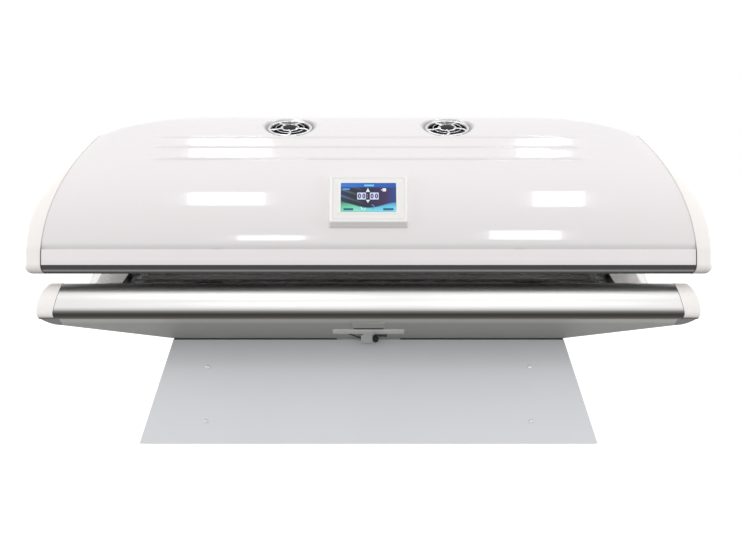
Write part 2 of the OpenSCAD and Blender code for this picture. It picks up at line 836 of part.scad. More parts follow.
module tub_bottom_plate() {
    in_y = hull_t * hull_h / hull_slant + seat;
    in_x = hull_t * hull_end_rise / norm([hull_x - top_x, hull_end_rise]) + seat;
    color("darkgray") translate([in_x - top_x, in_y - top_y, tub_z])
        cube([2 * top_x - 2 * in_x, 2 * top_y - 2 * in_y, bottom_t]);
}

// Finger pull and latch on the front panel
module front_panel_pull() {
    y0 = strip_up + strip_w + pull_gap;
    y1 = y0 + pull_w;
    color("darkgray") on_hull() difference() {
        along_x(pull_len) polygon([[y0, 0], [y0, pull_proud], [y1, strip_t], [y1, 0]]);
        along_x(pull_len - 2 * strip_t) polygon([
            [y0 - 1, -1], [y0 - 1, pull_proud - strip_t], [y1 - pull_w / 5, 0], [y1 - pull_w / 5, -1]]);
    }
}
module latch_strip() {
    color("silver") on_hull() {
        translate([-strip_len / 2, strip_up, 0]) cube([strip_len, strip_w, strip_t]);
        translate([latch_x0, strip_t, 0]) cube([latch_w, strip_up, strip_t]);
    }
}
module latch_block() {
    color("silver") difference() {
        union() {
            translate([latch_x0, -top_y - latch_d, tub_z - latch_drop])
                cube([latch_w, latch_d + below, latch_h]);
            translate([latch_x0, -knob_back, knob_z - knob_boss_r])
                cube([knob_x + knob_boss_r - latch_x0, knob_back, 2 * knob_boss_r]);
        }
        on_hull() translate([-far / 2, -far / 2, -far]) cube([far, far, far + strip_t + seat]);
        translate([0, -seat, 0]) pedestal_solid(-seat, 0, tub_z);
        translate([knob_x, 0, knob_z]) rotate([90, 0, 0])
            cylinder(r = knob_shaft_r + pin_play, h = far, $fn = small_fn);
    }
}
module latch_knob() {
    color("black") translate([knob_x, -knob_back - seam, knob_z]) rotate([90, 0, 0]) {
        cylinder(r = knob_r, h = knob_d, $fn = small_fn);
        translate([-grip_w / 2, -knob_r, knob_d - joint_cut]) cube([grip_w, 2 * knob_r, grip_w]);
        translate([0, 0, -knob_shaft_l]) cylinder(r = knob_shaft_r, h = knob_shaft_l, $fn = small_fn);
    }
}

// Base rails
module rail_ends() {
    intersection() {
        children();
        along_y(far) polygon([
            [-rail_foot_x, rail_z], [rail_foot_x, rail_z], [rail_top_x, base_top], [-rail_top_x, base_top]]);
    }
}
// The parts that both rails share: the inner web and the ledge under the lower sheet
module rail_inside_2d() {
    translate([-rail_in_y - rail_t, base_top - web_h]) square([rail_t, web_h]);
    intersection() {
        translate([0, trough_cz]) difference() {
            circle(trough_r + acrylic_t + seat + rail_t, $fn = wide_fn);
            circle(trough_r + acrylic_t + seat, $fn = wide_fn);
        }
        translate([-rail_in_y - rail_t, rail_z]) square([rail_t + rail_in_y - trough_y + ledge_w, rail_h]);
    }
}
module front_rail_2d() {
    top_out = rail_face_y + sqrt(pow(rail_face_r, 2) - pow(base_top - rail_face_cz, 2));
    intersection() {
        translate([-rail_face_y, rail_face_cz]) difference() {
            circle(rail_face_r);
            circle(rail_face_r - rail_t);
        }
        translate([-half_w - 1, rail_z]) square([rail_face_r + 1, rail_h]);
    }
    translate([-top_out + rail_t, base_top - rail_t]) square([top_out - rail_t - rail_in_y, rail_t]);
    translate([-half_w + 2 * rail_t, rail_z]) square([half_w - 2 * rail_t - hull_y + rail_foot_w, rail_t]);
    rail_inside_2d();
}
module base_front_rail() {
    color("lightsteelblue") rail_ends() along_x(far) front_rail_2d();
}
module base_back_rail() {
    color("lightsteelblue") rail_ends() along_x(far) mirror([1, 0]) {
        translate([-half_w, rail_z]) square([rail_t, rail_h]);
        translate([-half_w, base_top - rail_t]) square([rail_w, rail_t]);
        translate([-half_w, rail_z]) square([half_w - hull_y + rail_foot_w, rail_t]);
        rail_inside_2d();
    }
}

// Base end caps
function nose_pt(i, t) = [
    hull_x + (nose_len - i) * cos(t),
    nose_z + (t > 0 ? nose_up - i : nose_low - i) * sin(t)];
module nose_2d(i, back) {
    t0 = asin((base_top - i - nose_z) / (nose_up - i));
    t1 = -acos(max(back, 0) / (nose_len - i));
    polygon(concat(
        [[rail_top_x + back, base_top - i]],
        [for (k = [0 : nose_steps]) nose_pt(i, t0 + (t1 - t0) * k / nose_steps)],
        back < 0 ? [[hull_x + back, nose_z - nose_low + i]] : [],
        [[hull_x + back, rail_z - seam], [rail_foot_x + back, rail_z - seam]]));
}
module base_section_2d(i) {
    hull_section_2d(i);
    intersection() {
        union() {
            translate([-rail_face_y, rail_face_cz]) circle(rail_face_r - i);
            translate([-rail_face_y, rail_z]) square([rail_face_y + half_w - i, rail_h]);
        }
        translate([-half_w, rail_z + i]) square([bed_width, rail_h - 2 * i]);
    }
}
// The hollow over the base end cap: the lying surface's curve, then a sloping lip
module scoop(i) {
    intersection() {
        union() {
            log_x(0, trough_cz, trough_r + i, far);
            translate([scoop_x, 0, trough_low]) rotate([0, scoop_tilt, 0])
                translate([half_w / 2, 0, 0]) log_x(0, trough_r, trough_r + i, bed_width + scoop_len);
        }
        cube([far, 2 * (rail_in_y + i), far], center = true);
    }
}
module cap_body(i, back) {
    intersection() {
        along_y(far) nose_2d(i, back);
        along_x(far) base_section_2d(i);
    }
}
// The part of the cap that reaches in under the trough, as far as the lower sheet
module apron(over) {
    translate([sheet_x + seam - over, seam - trough_y - over, trough_low - 2 * cap_t - over])
        cube([rail_foot_x - sheet_x + cap_t + 2 * over, 2 * (trough_y - seam + over),
            2 * cap_t + trough_sag + 2 * over]);
}
module base_cap() {
    difference() {
        union() {
            cap_body(0, seam);
            apron(0);
        }
        scoop(0);
        difference() {
            union() {
                cap_body(cap_t, -2 * cap_t);
                apron(cap_t / 2);
            }
            scoop(cap_t);
        }
        strut_slot(base_slot_y0, base_slot_y1, trough_low - 2 * cap_t, base_top);
    }
}
module base_right_cap() {
    color("whitesmoke") base_cap();
}
module base_left_cap() {
    color("whitesmoke") mirror([1, 0, 0]) base_cap();
}
module strut_slot(y0, y1, z0, z1) {
    translate([strut_x - strut_r - slot_clear / 2, y0, z0])
        cube([2 * strut_r + slot_clear, y1 - y0, z1 - z0]);
}

// Lower sheet, bulkheads and reflector
module lower_sheet() {
    color([0.8, 0.85, 0.9, 0.4]) along_x(2 * sheet_x) intersection() {
        translate([0, trough_cz]) rotate(180) arch_2d(trough_r, trough_r + acrylic_t, 45);
        translate([-trough_y, trough_low - 2 * acrylic_t]) square([2 * trough_y, rail_h]);
    }
}
module base_bulkhead() {
    difference() {
        intersection() {
            translate([bulkhead_x, -far / 2, 0]) cube([bulkhead_t, far, base_top - web_h - rail_t]);
            along_y(far) hull_outline_2d(hull_t + 2 * seat, base_top);
            along_x(far) intersection() {
                base_section_2d(hull_t + seat);
                square([2 * (hull_y - rail_foot_w - seam), far], center = true);
            }
        }
        log_x(0, trough_cz, trough_r + acrylic_t + seat, far);
    }
    translate([0, low_y, low_z]) strut_stud();
}
// A stud with a spacer and a head, welded to a bulkhead
module strut_stud() {
    rod_x(stud_r, bulkhead_x + bulkhead_t - joint_cut, stud_reach);
    rod_x(spacer_r, bulkhead_x + bulkhead_t / 2, strut_x - eye_t / 2 - seam);
    rod_x(spacer_r, strut_x + eye_t / 2 + seam, stud_reach + 2);
}
module base_bulkheads() {
    color("silver") both_ends() base_bulkhead();
}
module base_reflector() {
    color("lightgray") along_x(2 * bulkhead_x - 2 * seat) translate([0, trough_cz]) rotate(180)
        arch_2d(base_reflector_r, base_reflector_r + reflector_t, base_reflector_a);
}

// Lamps
function lamp_a(k, a) = a * (2 * k / (lamp_count - 1) - 1);
module at_base_lamps() {
    for (k = [0 : lamp_count - 1])
        translate([0, 0, trough_cz]) rotate([lamp_a(k, base_lamp_a), 0, 0])
            translate([0, 0, -base_lamp_r]) children();
}
module at_canopy_lamps() {
    for (k = [0 : lamp_count - 1])
        translate([0, 0, arch_cz]) rotate([lamp_a(k, canopy_lamp_a), 0, 0])
            translate([0, 0, canopy_lamp_r]) children();
}
module lamp_tube() {
    glass_x = lamp_x - lamp_cap_l;
    difference() {
        rod_x(lamp_r, -glass_x, glass_x);
        rod_x(lamp_r - lamp_wall, -2 * lamp_x, 2 * lamp_x);
    }
}
module lamp_ends() {
    both_ends() {
        rod_x(lamp_r, lamp_x - lamp_cap_l, lamp_x);
        rod_x(spigot_r, lamp_x - 1, lamp_x + spigot_l);
    }
}
module lamp_sockets() {
    both_ends() difference() {
        translate([lamp_x + 2 * seat, -holder_w / 2, -holder_w / 2])
            cube([holder_l - 2 * seat, holder_w, holder_w]);
        rod_x(spigot_r + 3 * seat, lamp_x, lamp_x + spigot_l + 1);
    }
}
module base_lamps() {
    color("mistyrose") at_base_lamps() lamp_tube();
}
module base_lamp_caps() {
    color("silver") at_base_lamps() lamp_ends();
}
module base_lamp_holders() {
    color("white") at_base_lamps() lamp_sockets();
}
module canopy_lamps() {
    color("mistyrose") at_canopy_lamps() lamp_tube();
}
module canopy_lamp_caps() {
    color("silver") at_canopy_lamps() lamp_ends();
}
module canopy_lamp_holders() {
    color("white") at_canopy_lamps() lamp_sockets();
}
module base_ballasts() {
    color("slategray") for (x = [-1 : 1], s = [-1, 1])
        translate([x * (ballast_w + ballast_gap) - ballast_w / 2, s * ballast_pitch / 2 - ballast_d / 2,
            tub_z + bottom_t]) cube([ballast_w, ballast_d, ballast_h]);
}
module canopy_ballasts() {
    color("slategray") difference() {
        for (k = [-1.5 : 1.5])
            translate([k * (ballast_w + ballast_gap), 0, arch_cz]) rotate([-ballast_a, 0, 0])
                translate([0, 0, canopy_reflector_r + ballast_h / 2 + reflector_t - 1])
                    cube([ballast_w, ballast_d, ballast_h], center = true);
        log_x(0, arch_cz, canopy_reflector_r + reflector_t + seat, far);
    }
}

// Hinges
module at_hinges() {
    for (s = [-1, 1]) translate([s * hinge_x, 0, 0]) children();
}
module knuckle(x0, x1) {
    translate([0, hinge_y, hinge_z]) rod_x(knuckle_r, x0, x1);
}
module pin_hole(r) {
    translate([0, hinge_y, hinge_z]) rod_x(r, -hinge_len, hinge_len);
}
module hinge_leaf(z) {
    translate([-hinge_len / 2, hinge_y + knuckle_r - leaf_w, z]) cube([hinge_len, leaf_w, leaf_t]);
}
module hinge_brackets() {
    color("gray") at_hinges() difference() {
        union() {
            hinge_leaf(base_top);
            both_ends() {
                knuckle(knuckle_l / 2 + knuckle_gap, hinge_len / 2);
                translate([knuckle_l / 2 + knuckle_gap, hinge_y - web_w / 2, base_top])
                    cube([outer_knuckle_l, web_w, tunnel_gap / 2]);
            }
        }
        pin_hole(pin_r + pin_play);
    }
}
module hinge_pins() {
    color("silver") at_hinges() translate([0, hinge_y, hinge_z]) {
        rod_x(pin_r, -hinge_len / 2 - joint_cut, hinge_len / 2 + joint_cut);
        both_ends() rod_x(pin_r + 2, hinge_len / 2 + seat, hinge_len / 2 + 2);
    }
}
module hinge_arms() {
    color("gray") at_hinges() difference() {
        union() {
            hinge_leaf(canopy_z - leaf_t);
            knuckle(-knuckle_l / 2, knuckle_l / 2);
            translate([-knuckle_l / 2, hinge_y - web_w / 2, hinge_z])
                cube([knuckle_l, web_w, tunnel_gap / 2 - joint_cut]);
        }
        pin_hole(pin_r + pin_play);
    }
}

// Gas struts, drawn along Y from the lower stud and then leaned
module at_strut() {
    translate([strut_x, low_y, low_z]) rotate([strut_a, 0, 0]) children();
}
module rod_y(r, y0, y1) {
    translate([0, y0, 0]) rotate([-90, 0, 0]) cylinder(r = r, h = y1 - y0, $fn = small_fn);
}
module strut_cylinder() {
    at_strut() difference() {
        union() {
            rod_x(eye_r, -eye_t / 2, eye_t / 2);
            rod_y(strut_r, tube_y, tube_y + strut_tube_l);
        }
        rod_x(stud_r + pin_play, -eye_t, eye_t);
        rod_y(strut_r - strut_wall, eye_r + strut_wall, tube_y + strut_tube_l - gland_l);
        rod_y(rod_r + pin_play, eye_r + strut_wall, strut_len);
    }
}
module strut_rod() {
    at_strut() difference() {
        union() {
            rod_x_at(strut_len, eye_r, eye_t);
            rod_y(rod_r, piston_y, strut_len - top_eye_bore - joint_cut);
            rod_y(strut_r - strut_wall - seat, piston_y, piston_y + gland_l);
        }
        rod_x_at(strut_len, top_eye_bore, 2 * eye_t);
    }
}
module rod_x_at(y, r, len) {
    translate([0, y, 0]) rod_x(r, -len / 2, len / 2);
}
module right_strut_cylinder() {
    color("dimgray") strut_cylinder();
}
module left_strut_cylinder() {
    color("dimgray") mirror([1, 0, 0]) strut_cylinder();
}
module right_strut_rod() {
    color("silver") strut_rod();
}
module left_strut_rod() {
    color("silver") mirror([1, 0, 0]) strut_rod();
}

// Canopy covers
function outline_pt(i, t) = [
    (canopy_x - i) * pow(cos(t), 2 / outline_power_x),
    outline_z + (outline_h - i) * pow(sin(t), 2 / outline_power_z)];
function outline_pts(i, side) = [
    for (k = [0 : outline_steps])
        let (n = side > 0 ? k : outline_steps - k)
            let (p = outline_pt(i, outline_t0 + (90 - outline_t0) * n / outline_steps))
                if (side > 0 || n < outline_steps) [side * p[0], p[1]]];
module canopy_outline_2d(i) {
    polygon(concat(outline_pts(i, 1), outline_pts(i, -1)));
}
module canopy_section_2d(i) {
    intersection() {
        translate([0, barrel_z]) circle(barrel_r - i, $fn = wide_fn);
        translate([-half_w, band_top - joint_cut]) square([bed_width, barrel_r]);
    }
    translate([i - band_y, canopy_z + foot_r]) square([2 * (band_y - i), canopy_band_h - foot_r]);
    translate([foot_r - band_y, canopy_z + i]) square([2 * (band_y - foot_r), foot_r]);
    for (s = [-1, 1]) translate([s * (band_y - foot_r), canopy_z + foot_r])
        circle(foot_r - i, $fn = small_fn);
}
// Everything on the shell's side of the end caps' seams, moved out by s
module between_seams_2d(s) {
    top = barrel_z + barrel_r + outline_rise;
    pts = [for (k = [0 : seam_steps])
        let (z = canopy_z + (top - canopy_z) * k / seam_steps) [seam_x(z) + s, z]];
    back = [for (k = [0 : seam_steps]) let (p = pts[seam_steps - k]) [-p[0], p[1]]];
    polygon(concat([[pts[0][0], canopy_z - below]], pts, back, [[-pts[0][0], canopy_z - below]]));
}
module canopy_inside(i) {
    intersection() {
        along_y(far) canopy_outline_2d(i);
        along_x(far) canopy_section_2d(i);
    }
}
module on_barrel(a) {
    translate([0, 0, barrel_z]) rotate([a, 0, 0]) translate([0, 0, barrel_r]) children();
}
module at_fans() {
    for (s = [-1, 1]) translate([s * fan_x, 0, 0]) on_barrel(fan_tilt) children();
}
module rib() {
    translate([0, 0, rib_proud - rib_r]) {
        rod_x(rib_r, -rib_x, rib_x);
        both_ends() translate([rib_x, 0, 0]) sphere(r = rib_r, $fn = small_fn);
    }
}
module canopy_shell() {
    color("white") difference() {
        union() {
            intersection() {
                along_y(far) intersection() {
                    canopy_outline_2d(0);
                    between_seams_2d(-seam / 2);
                }
                along_x(far) canopy_section_2d(0);
            }
            for (a = rib_angles) on_barrel(a) rib();
        }
        canopy_inside(shell_t);
        translate([0, 0, band_top - far / 2]) cube([far, far, far], center = true);
        at_fans() cylinder(r = fan_hole_r, h = 4 * foot_r + fan_hole_r, center = true);
        on_barrel(display_tilt)
            cube([board_w + board_gap, board_h + board_gap, 2 * board_d], center = true);
    }
}
module canopy_cap() {
    difference() {
        union() {
            difference() {
                intersection() {
                    along_y(far) difference() {
                        canopy_outline_2d(0);
                        between_seams_2d(seam / 2);
                    }
                    along_x(far) canopy_section_2d(0);
                    translate([0, -half_w, 0]) cube([canopy_x, bed_width, far]);
                }
                log_x(0, arch_cz, arch_r, far);
                difference() {
                    canopy_inside(cap_t);
                    log_x(0, arch_cz, arch_r + cap_t, far);
                }
            }
            intersection() {
                translate([(sheet_x + seam + canopy_x) / 2, 0, 0]) along_x(canopy_x - sheet_x - seam)
                    translate([0, arch_cz]) arch_2d(arch_r, arch_r + cap_t, arch_a);
                along_y(far) canopy_outline_2d(0);
            }
        }
        strut_slot(canopy_slot_y0, canopy_slot_y1, canopy_z - 1, reach_z);
    }
}
module canopy_right_cap() {
    color("ivory") canopy_cap();
}
module canopy_left_cap() {
    color("ivory") mirror([1, 0, 0]) canopy_cap();
}

// Canopy rails and the front trim
module canopy_rail_2d() {
    difference() {
        canopy_section_2d(0);
        canopy_section_2d(canopy_rail_t);
        translate([-arch_y - 1, 0]) square([bed_width, far]);
        translate([-half_w, band_top - seat]) square([bed_width, far]);
    }
    translate([canopy_rail_t - band_y - 1, band_top - seat - canopy_rail_t])
        square([2 * hoop_d + 1, canopy_rail_t]);
    intersection() {
        translate([0, arch_cz]) difference() {
            circle(arch_r - seat, $fn = wide_fn);
            circle(arch_r - seat - canopy_rail_t, $fn = wide_fn);
        }
        translate([-band_y, canopy_z]) square([band_y - arch_y + ledge_w, canopy_band_h]);
    }
}
module between_caps() {
    intersection() {
        children();
        along_y(far) between_seams_2d(-seam / 2);
    }
}
module canopy_front_rail() {
    color("whitesmoke") between_caps() along_x(far) difference() {
        canopy_rail_2d();
        translate([-band_y - 1, canopy_z + trim_z]) square([trim_t + 1, trim_h]);
    }
}
module canopy_back_rail() {
    color("whitesmoke") difference() {
        between_caps() along_x(far) mirror([1, 0]) canopy_rail_2d();
        both_ends() strut_slot(canopy_slot_y0, canopy_slot_y1, canopy_z - 1, reach_z);
    }
}
module canopy_trim() {
    color("dimgray") between_caps() along_x(far)
        translate([-band_y, canopy_z + trim_z + seat]) square([trim_t - seat, trim_h - 2 * seat]);
}

// Canopy structure
module canopy_bulkhead() {
    wide = band_y - 2 * hoop_d - canopy_rail_t - 2;
    difference() {
        intersection() {
            translate([bulkhead_x, -wide, canopy_z + 2 * canopy_rail_t])
                cube([bulkhead_t, 2 * wide, barrel_r]);
            canopy_inside(shell_t + seat);
        }
        log_x(0, arch_cz, arch_r + arch_t + seat, far);
    }
    translate([0, high_y, high_z]) strut_stud();
}
module canopy_bulkheads() {
    color("silver") both_ends() canopy_bulkhead();
}
module canopy_hoops() {
    r = barrel_r - shell_t - seat;
    color("dimgray") for (s = [-1, 1]) translate([s * hoop_x, 0, 0]) along_x(hoop_w) intersection() {
        translate([0, barrel_z]) difference() {
            circle(r, $fn = wide_fn);
            circle(r - hoop_d, $fn = wide_fn);
        }
        translate([-half_w, band_top]) square([bed_width, barrel_r]);
    }
}
module canopy_reflector() {
    color("lightgray") along_x(2 * bulkhead_x - 2 * seat) translate([0, arch_cz])
        arch_2d(canopy_reflector_r, canopy_reflector_r + reflector_t, canopy_reflector_a);
}
module upper_sheet() {
    color([0.8, 0.85, 0.9, 0.4]) along_x(2 * sheet_x) translate([0, arch_cz])
        arch_2d(arch_r, arch_r + arch_t, arch_a);
}

// Control panel
module display_frame() {
    color("white") difference() {
        on_barrel(display_tilt) translate([0, 0, -frame_skirt])
            linear_extrude(frame_skirt + bezel_proud) rounded_2d(bezel_w, bezel_h, bezel_r);
        log_x(0, barrel_z, barrel_r + seat, far);
        on_barrel(display_tilt) translate([0, screen_up, bezel_proud])
            cube([screen_w + 2 * seat, screen_h + 2 * seat, 2 * screen_t], center = true);
        on_barrel(display_tilt) cube([wire_slot_w, wire_slot_h, 4 * bezel_proud], center = true);
    }
}
module display_glass() {
    color("midnightblue") on_barrel(display_tilt) translate([0, screen_up, bezel_proud - screen_t / 2])
        cube([screen_w, screen_h, screen_t], center = true);
}
module control_board() {
    color("darkgreen") intersection() {
        on_barrel(display_tilt) translate([0, 0, -board_d / 2])
            cube([board_w, board_h, board_d], center = true);
        log_x(0, barrel_z, barrel_r, far);
    }
}

// Fans
module fan_rings() {
    color("silver") at_fans() intersection() {
        difference() {
            union() {
                translate([0, 0, ring_z]) cylinder(r = fan_hole_r - seat, h = -ring_z + foot_r);
                difference() {
                    translate([0, 0, -4 * fan_flange_w])
                        cylinder(r = fan_hole_r + fan_flange_w, h = 5 * fan_flange_w);
                    log_x(0, -barrel_r, barrel_r - shell_t - seat - fan_ring_t, far);
                    difference() {
                        cube([far, far, far], center = true);
                        log_x(0, -barrel_r, barrel_r - shell_t - seat, far);
                    }
                }
            }
            translate([0, 0, guard_z]) cylinder(r = fan_hole_r - fan_ring_t, h = far);
            translate([0, 0, -far / 2]) cylinder(r = fan_bore_r, h = far);
        }
        log_x(0, -barrel_r, barrel_r, far);
    }
}
module fan_guards() {
    out_r = fan_hole_r - fan_ring_t - 3 * seat;
    color("silver") at_fans() translate([0, 0, guard_z + seat]) {
        difference() {
            cylinder(r = out_r, h = guard_t);
            cylinder(r = out_r - guard_rim_w, h = 3 * guard_t, center = true);
        }
        for (k = [0 : spoke_count - 1]) rotate([0, 0, 90 + k * 360 / spoke_count])
            translate([0, -spoke_w / 2, 0]) cube([out_r - guard_rim_w / 2, spoke_w, guard_t]);
        cylinder(r = guard_boss_r, h = guard_t + 1);
    }
}
module fan_housings() {
    color("black") at_fans() translate([0, 0, ring_z - fan_body_h]) {
        difference() {
            linear_extrude(fan_body_h) rounded_2d(fan_body_w, fan_body_w, bezel_r);
            cylinder(r = fan_bore_r, h = 3 * fan_body_h, center = true);
        }
        difference() {
            union() {
                cylinder(r = fan_boss_r, h = fan_boss_h);
                for (a = [0 : 90 : 270]) rotate([0, 0, a]) translate([0, -spoke_w / 2, 0])
                    cube([fan_bore_r + 1, spoke_w, fan_ring_t]);
            }
            cylinder(r = fan_shaft_r + pin_play, h = 3 * fan_body_h, center = true, $fn = small_fn);
        }
    }
}
module fan_rotor(s) {
    hub_h = fan_body_h - fan_boss_h - 4;
    color("darkslategray") translate([s * fan_x, 0, 0]) on_barrel(fan_tilt)
        translate([0, 0, ring_z - fan_body_h + fan_boss_h + 1]) {
            cylinder(r = hub_r, h = hub_h, $fn = small_fn);
            translate([0, 0, -fan_boss_h]) cylinder(r = fan_shaft_r, h = fan_boss_h + 1, $fn = small_fn);
            intersection() {
                cylinder(r = fan_bore_r - blade_gap, h = hub_h);
                for (k = [0 : blade_count - 1]) rotate([0, 0, k * 360 / blade_count])
                    translate([hub_r - 1, 0, hub_h / 2]) rotate([blade_pitch, 0, 0])
                        translate([0, -blade_chord / 2, -blade_t / 2])
                            cube([fan_bore_r, blade_chord, blade_t]);
            }
        }
}
module fan_rotor_left() {
    fan_rotor(-1);
}
module fan_rotor_right() {
    fan_rotor(1);
}

floor_pads();
pedestal_frame();
pedestal_front_panel();
pedestal_back_panel();
pedestal_left_panel();
pedestal_right_panel();
pedestal_screws();
supply_case();
mains_inlet();
mains_switch();
tub_bottom_plate();
tub_front_panel();
tub_back_panel();
tub_left_panel();
tub_right_panel();
front_panel_pull();
latch_strip();
latch_block();
latch_knob();
base_front_rail();
base_back_rail();
base_left_cap();
base_right_cap();
base_bulkheads();
base_reflector();
base_lamps();
base_lamp_caps();
base_lamp_holders();
base_ballasts();
lower_sheet();
hinge_brackets();
hinge_pins();
left_strut_cylinder();
right_strut_cylinder();
left_strut_rod();
right_strut_rod();
canopy_shell();
canopy_left_cap();
canopy_right_cap();
canopy_front_rail();
canopy_back_rail();
canopy_trim();
canopy_bulkheads();
canopy_hoops();
canopy_reflector();
canopy_lamps();
canopy_lamp_caps();
canopy_lamp_holders();
canopy_ballasts();
upper_sheet();
hinge_arms();
display_frame();
display_glass();
control_board();
fan_rings();
fan_guards();
fan_housings();
fan_rotor_left();
fan_rotor_right();
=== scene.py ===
import math

import bmesh
import bpy
from mathutils import Matrix, Vector


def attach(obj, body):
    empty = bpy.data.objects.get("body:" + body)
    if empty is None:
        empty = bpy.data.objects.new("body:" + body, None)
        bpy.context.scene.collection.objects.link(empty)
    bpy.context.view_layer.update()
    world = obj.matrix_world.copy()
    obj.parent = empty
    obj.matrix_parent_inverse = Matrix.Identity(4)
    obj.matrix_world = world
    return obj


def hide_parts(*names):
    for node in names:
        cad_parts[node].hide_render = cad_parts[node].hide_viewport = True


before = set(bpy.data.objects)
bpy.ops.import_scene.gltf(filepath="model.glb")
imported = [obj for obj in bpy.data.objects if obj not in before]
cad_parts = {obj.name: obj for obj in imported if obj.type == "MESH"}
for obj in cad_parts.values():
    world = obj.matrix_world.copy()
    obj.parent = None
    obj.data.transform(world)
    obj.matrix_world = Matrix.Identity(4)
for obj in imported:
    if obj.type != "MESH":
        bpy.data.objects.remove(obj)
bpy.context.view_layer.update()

scene = bpy.context.scene
finishes = {}
white = (1.0, 1.0, 1.0, 1.0)


# small helpers

def light(r, g, b):  # a screen colour, 0 to 255, as the shader wants it
    return tuple((c / 255 / 12.92 if c < 11 else ((c / 255 + 0.055) / 1.055) ** 2.4) for c in (r, g, b)) + (1.0,)


def eased(t):  # held between 0 and 1, with soft ends
    t = min(1.0, max(0.0, t))
    return t * t * (3 - 2 * t)


def addObject(name, data):
    made = bpy.data.objects.new(name, data)
    scene.collection.objects.link(made)
    return made


def shadeSoft(piece, sharpAngle=35):
    piece.data.shade_smooth()
    piece.data.set_sharp_from_angle(angle=math.radians(sharpAngle))
    return piece


def meshPiece(name, points, faces, finishKey, sharpAngle=35):
    mesh = bpy.data.meshes.new(name)
    mesh.from_pydata([tuple(p) for p in points], [], faces)
    mesh.validate()
    mesh.update()
    mesh.materials.append(finishes[finishKey])
    return shadeSoft(addObject(name, mesh), sharpAngle)


def wirePiece(name, points, edges=()):
    mesh = bpy.data.meshes.new(name)
    mesh.from_pydata([tuple(p) for p in points], edges, [])
    return addObject(name, mesh)


def settle(piece, sharpAngle):  # turns live modifiers into a plain mesh
    graph = bpy.context.evaluated_depsgraph_get()
    plain = bpy.data.meshes.new_from_object(piece.evaluated_get(graph))
    plain.name = piece.name
    piece.modifiers.clear()
    piece.data = plain
    return shadeSoft(piece, sharpAngle)


def faceOutwards(piece):
    shape = bmesh.new()
    shape.from_mesh(piece.data)
    bmesh.ops.remove_doubles(shape, verts=shape.verts, dist=0.00001)
    bmesh.ops.recalc_face_normals(shape, faces=shape.faces)
    shape.to_mesh(piece.data)
    shape.free()
    return piece


def faceToward(piece, direction, above=-1.0):  # turns an open skin round if its faces above that height look away
    toward = Vector(direction)
    if sum(f.normal.dot(toward) * f.area for f in piece.data.polygons if f.center.z > above) < 0:
        piece.data.flip_normals()
    return piece


def gridPiece(name, rows, finishKey, sharpAngle=35, closeRows=False, closeColumns=False, ends=False):
    high, wide = len(rows), len(rows[0])
    faces = []
    for r in range(high if closeRows else high - 1):
        for c in range(wide if closeColumns else wide - 1):
            nextR, nextC = (r + 1) % high * wide, (c + 1) % wide
            faces.append((r * wide + c, nextR + c, nextR + nextC, r * wide + nextC))
    if ends:
        faces += [tuple(range(wide)), tuple(reversed(range((high - 1) * wide, high * wide)))]
    return meshPiece(name, [p for row in rows for p in row], faces, finishKey, sharpAngle)


def solidPiece(rows, finishKey, sharpAngle=40, name="part"):  # closed round its columns and at both ends
    return faceOutwards(gridPiece(name, rows, finishKey, sharpAngle, closeColumns=True, ends=True))


def thicken(piece, wall, sharpAngle=30):
    solid = piece.modifiers.new("wall", "SOLIDIFY")
    solid.thickness, solid.offset = wall, -1
    solid.use_even_offset = solid.use_quality_normals = True
    return settle(piece, sharpAngle)


def cutOut(piece, cutters, sharpAngle=30):
    for cutter in cutters:
        cut = piece.modifiers.new("cut", "BOOLEAN")
        cut.operation, cut.solver, cut.object = "DIFFERENCE", "EXACT", cutter
    settle(piece, sharpAngle)
    for cutter in cutters:
        bpy.data.objects.remove(cutter)
    return piece


def cutterFrom(shape, place=Matrix()):
    mesh = bpy.data.meshes.new("cutter")
    shape.to_mesh(mesh)
    shape.free()
    mesh.transform(place)
    return addObject("cutter", mesh)


def boxTool(low, high, place=Matrix()):
    shape = bmesh.new()
    bmesh.ops.create_cube(shape, size=1)
    for v in shape.verts:
        v.co = [(a + b) / 2 + (b - a) * c for a, b, c in zip(low, high, v.co)]
    return cutterFrom(shape, place)


def roundTool(place, radius, depth, sides=96):
    shape = bmesh.new()
    bmesh.ops.create_cone(shape, cap_ends=True, segments=sides, radius1=radius, radius2=radius, depth=depth)
    return cutterFrom(shape, place)


def slotTool(side, y, z, x=0.825, half=0.0135):  # the opening that a strut swings in
    return boxTool((side * x - half, y[0], z[0]), (side * x + half, y[1], z[1]))


def alongLine(points, count):  # count points, evenly spaced on a path
    lengths = [0.0]
    for a, b in zip(points, points[1:]):
        lengths.append(lengths[-1] + math.dist(a, b))
    placed, k = [], 0
    for n in range(count):
        want = lengths[-1] * n / (count - 1)
        while k < len(points) - 2 and lengths[k + 1] < want:
            k += 1
        span = lengths[k + 1] - lengths[k]
        t = 0 if span < 1e-9 else (want - lengths[k]) / span
        placed.append(tuple(a + (b - a) * min(1, max(0, t)) for a, b in zip(points[k], points[k + 1])))
    return placed


def roundedCorner(before, corner, after, radius, steps=4):  # points of an arc that replaces a corner
    corner = Vector(corner)
    a, b = Vector(before) - corner, Vector(after) - corner
    if min(a.length, b.length) < 1e-7:
        return [tuple(corner)] * (steps + 1)
    reach = min(radius / max(math.tan(a.angle(b) / 2), 0.05), a.length * 0.49, b.length * 0.49)
    start, end = corner + a.normalized() * reach, corner + b.normalized() * reach
    times = [n / steps for n in range(steps + 1)]
    return [tuple(start * (1 - t) ** 2 + corner * 2 * t * (1 - t) + end * t ** 2) for t in times]


def solveFor(gap, low, high):  # the place between low and high where gap turns positive
    for _ in range(40):
        middle = (low + high) / 2
        if gap(middle) > 0:
            high = middle
        else:
            low = middle
    return (low + high) / 2


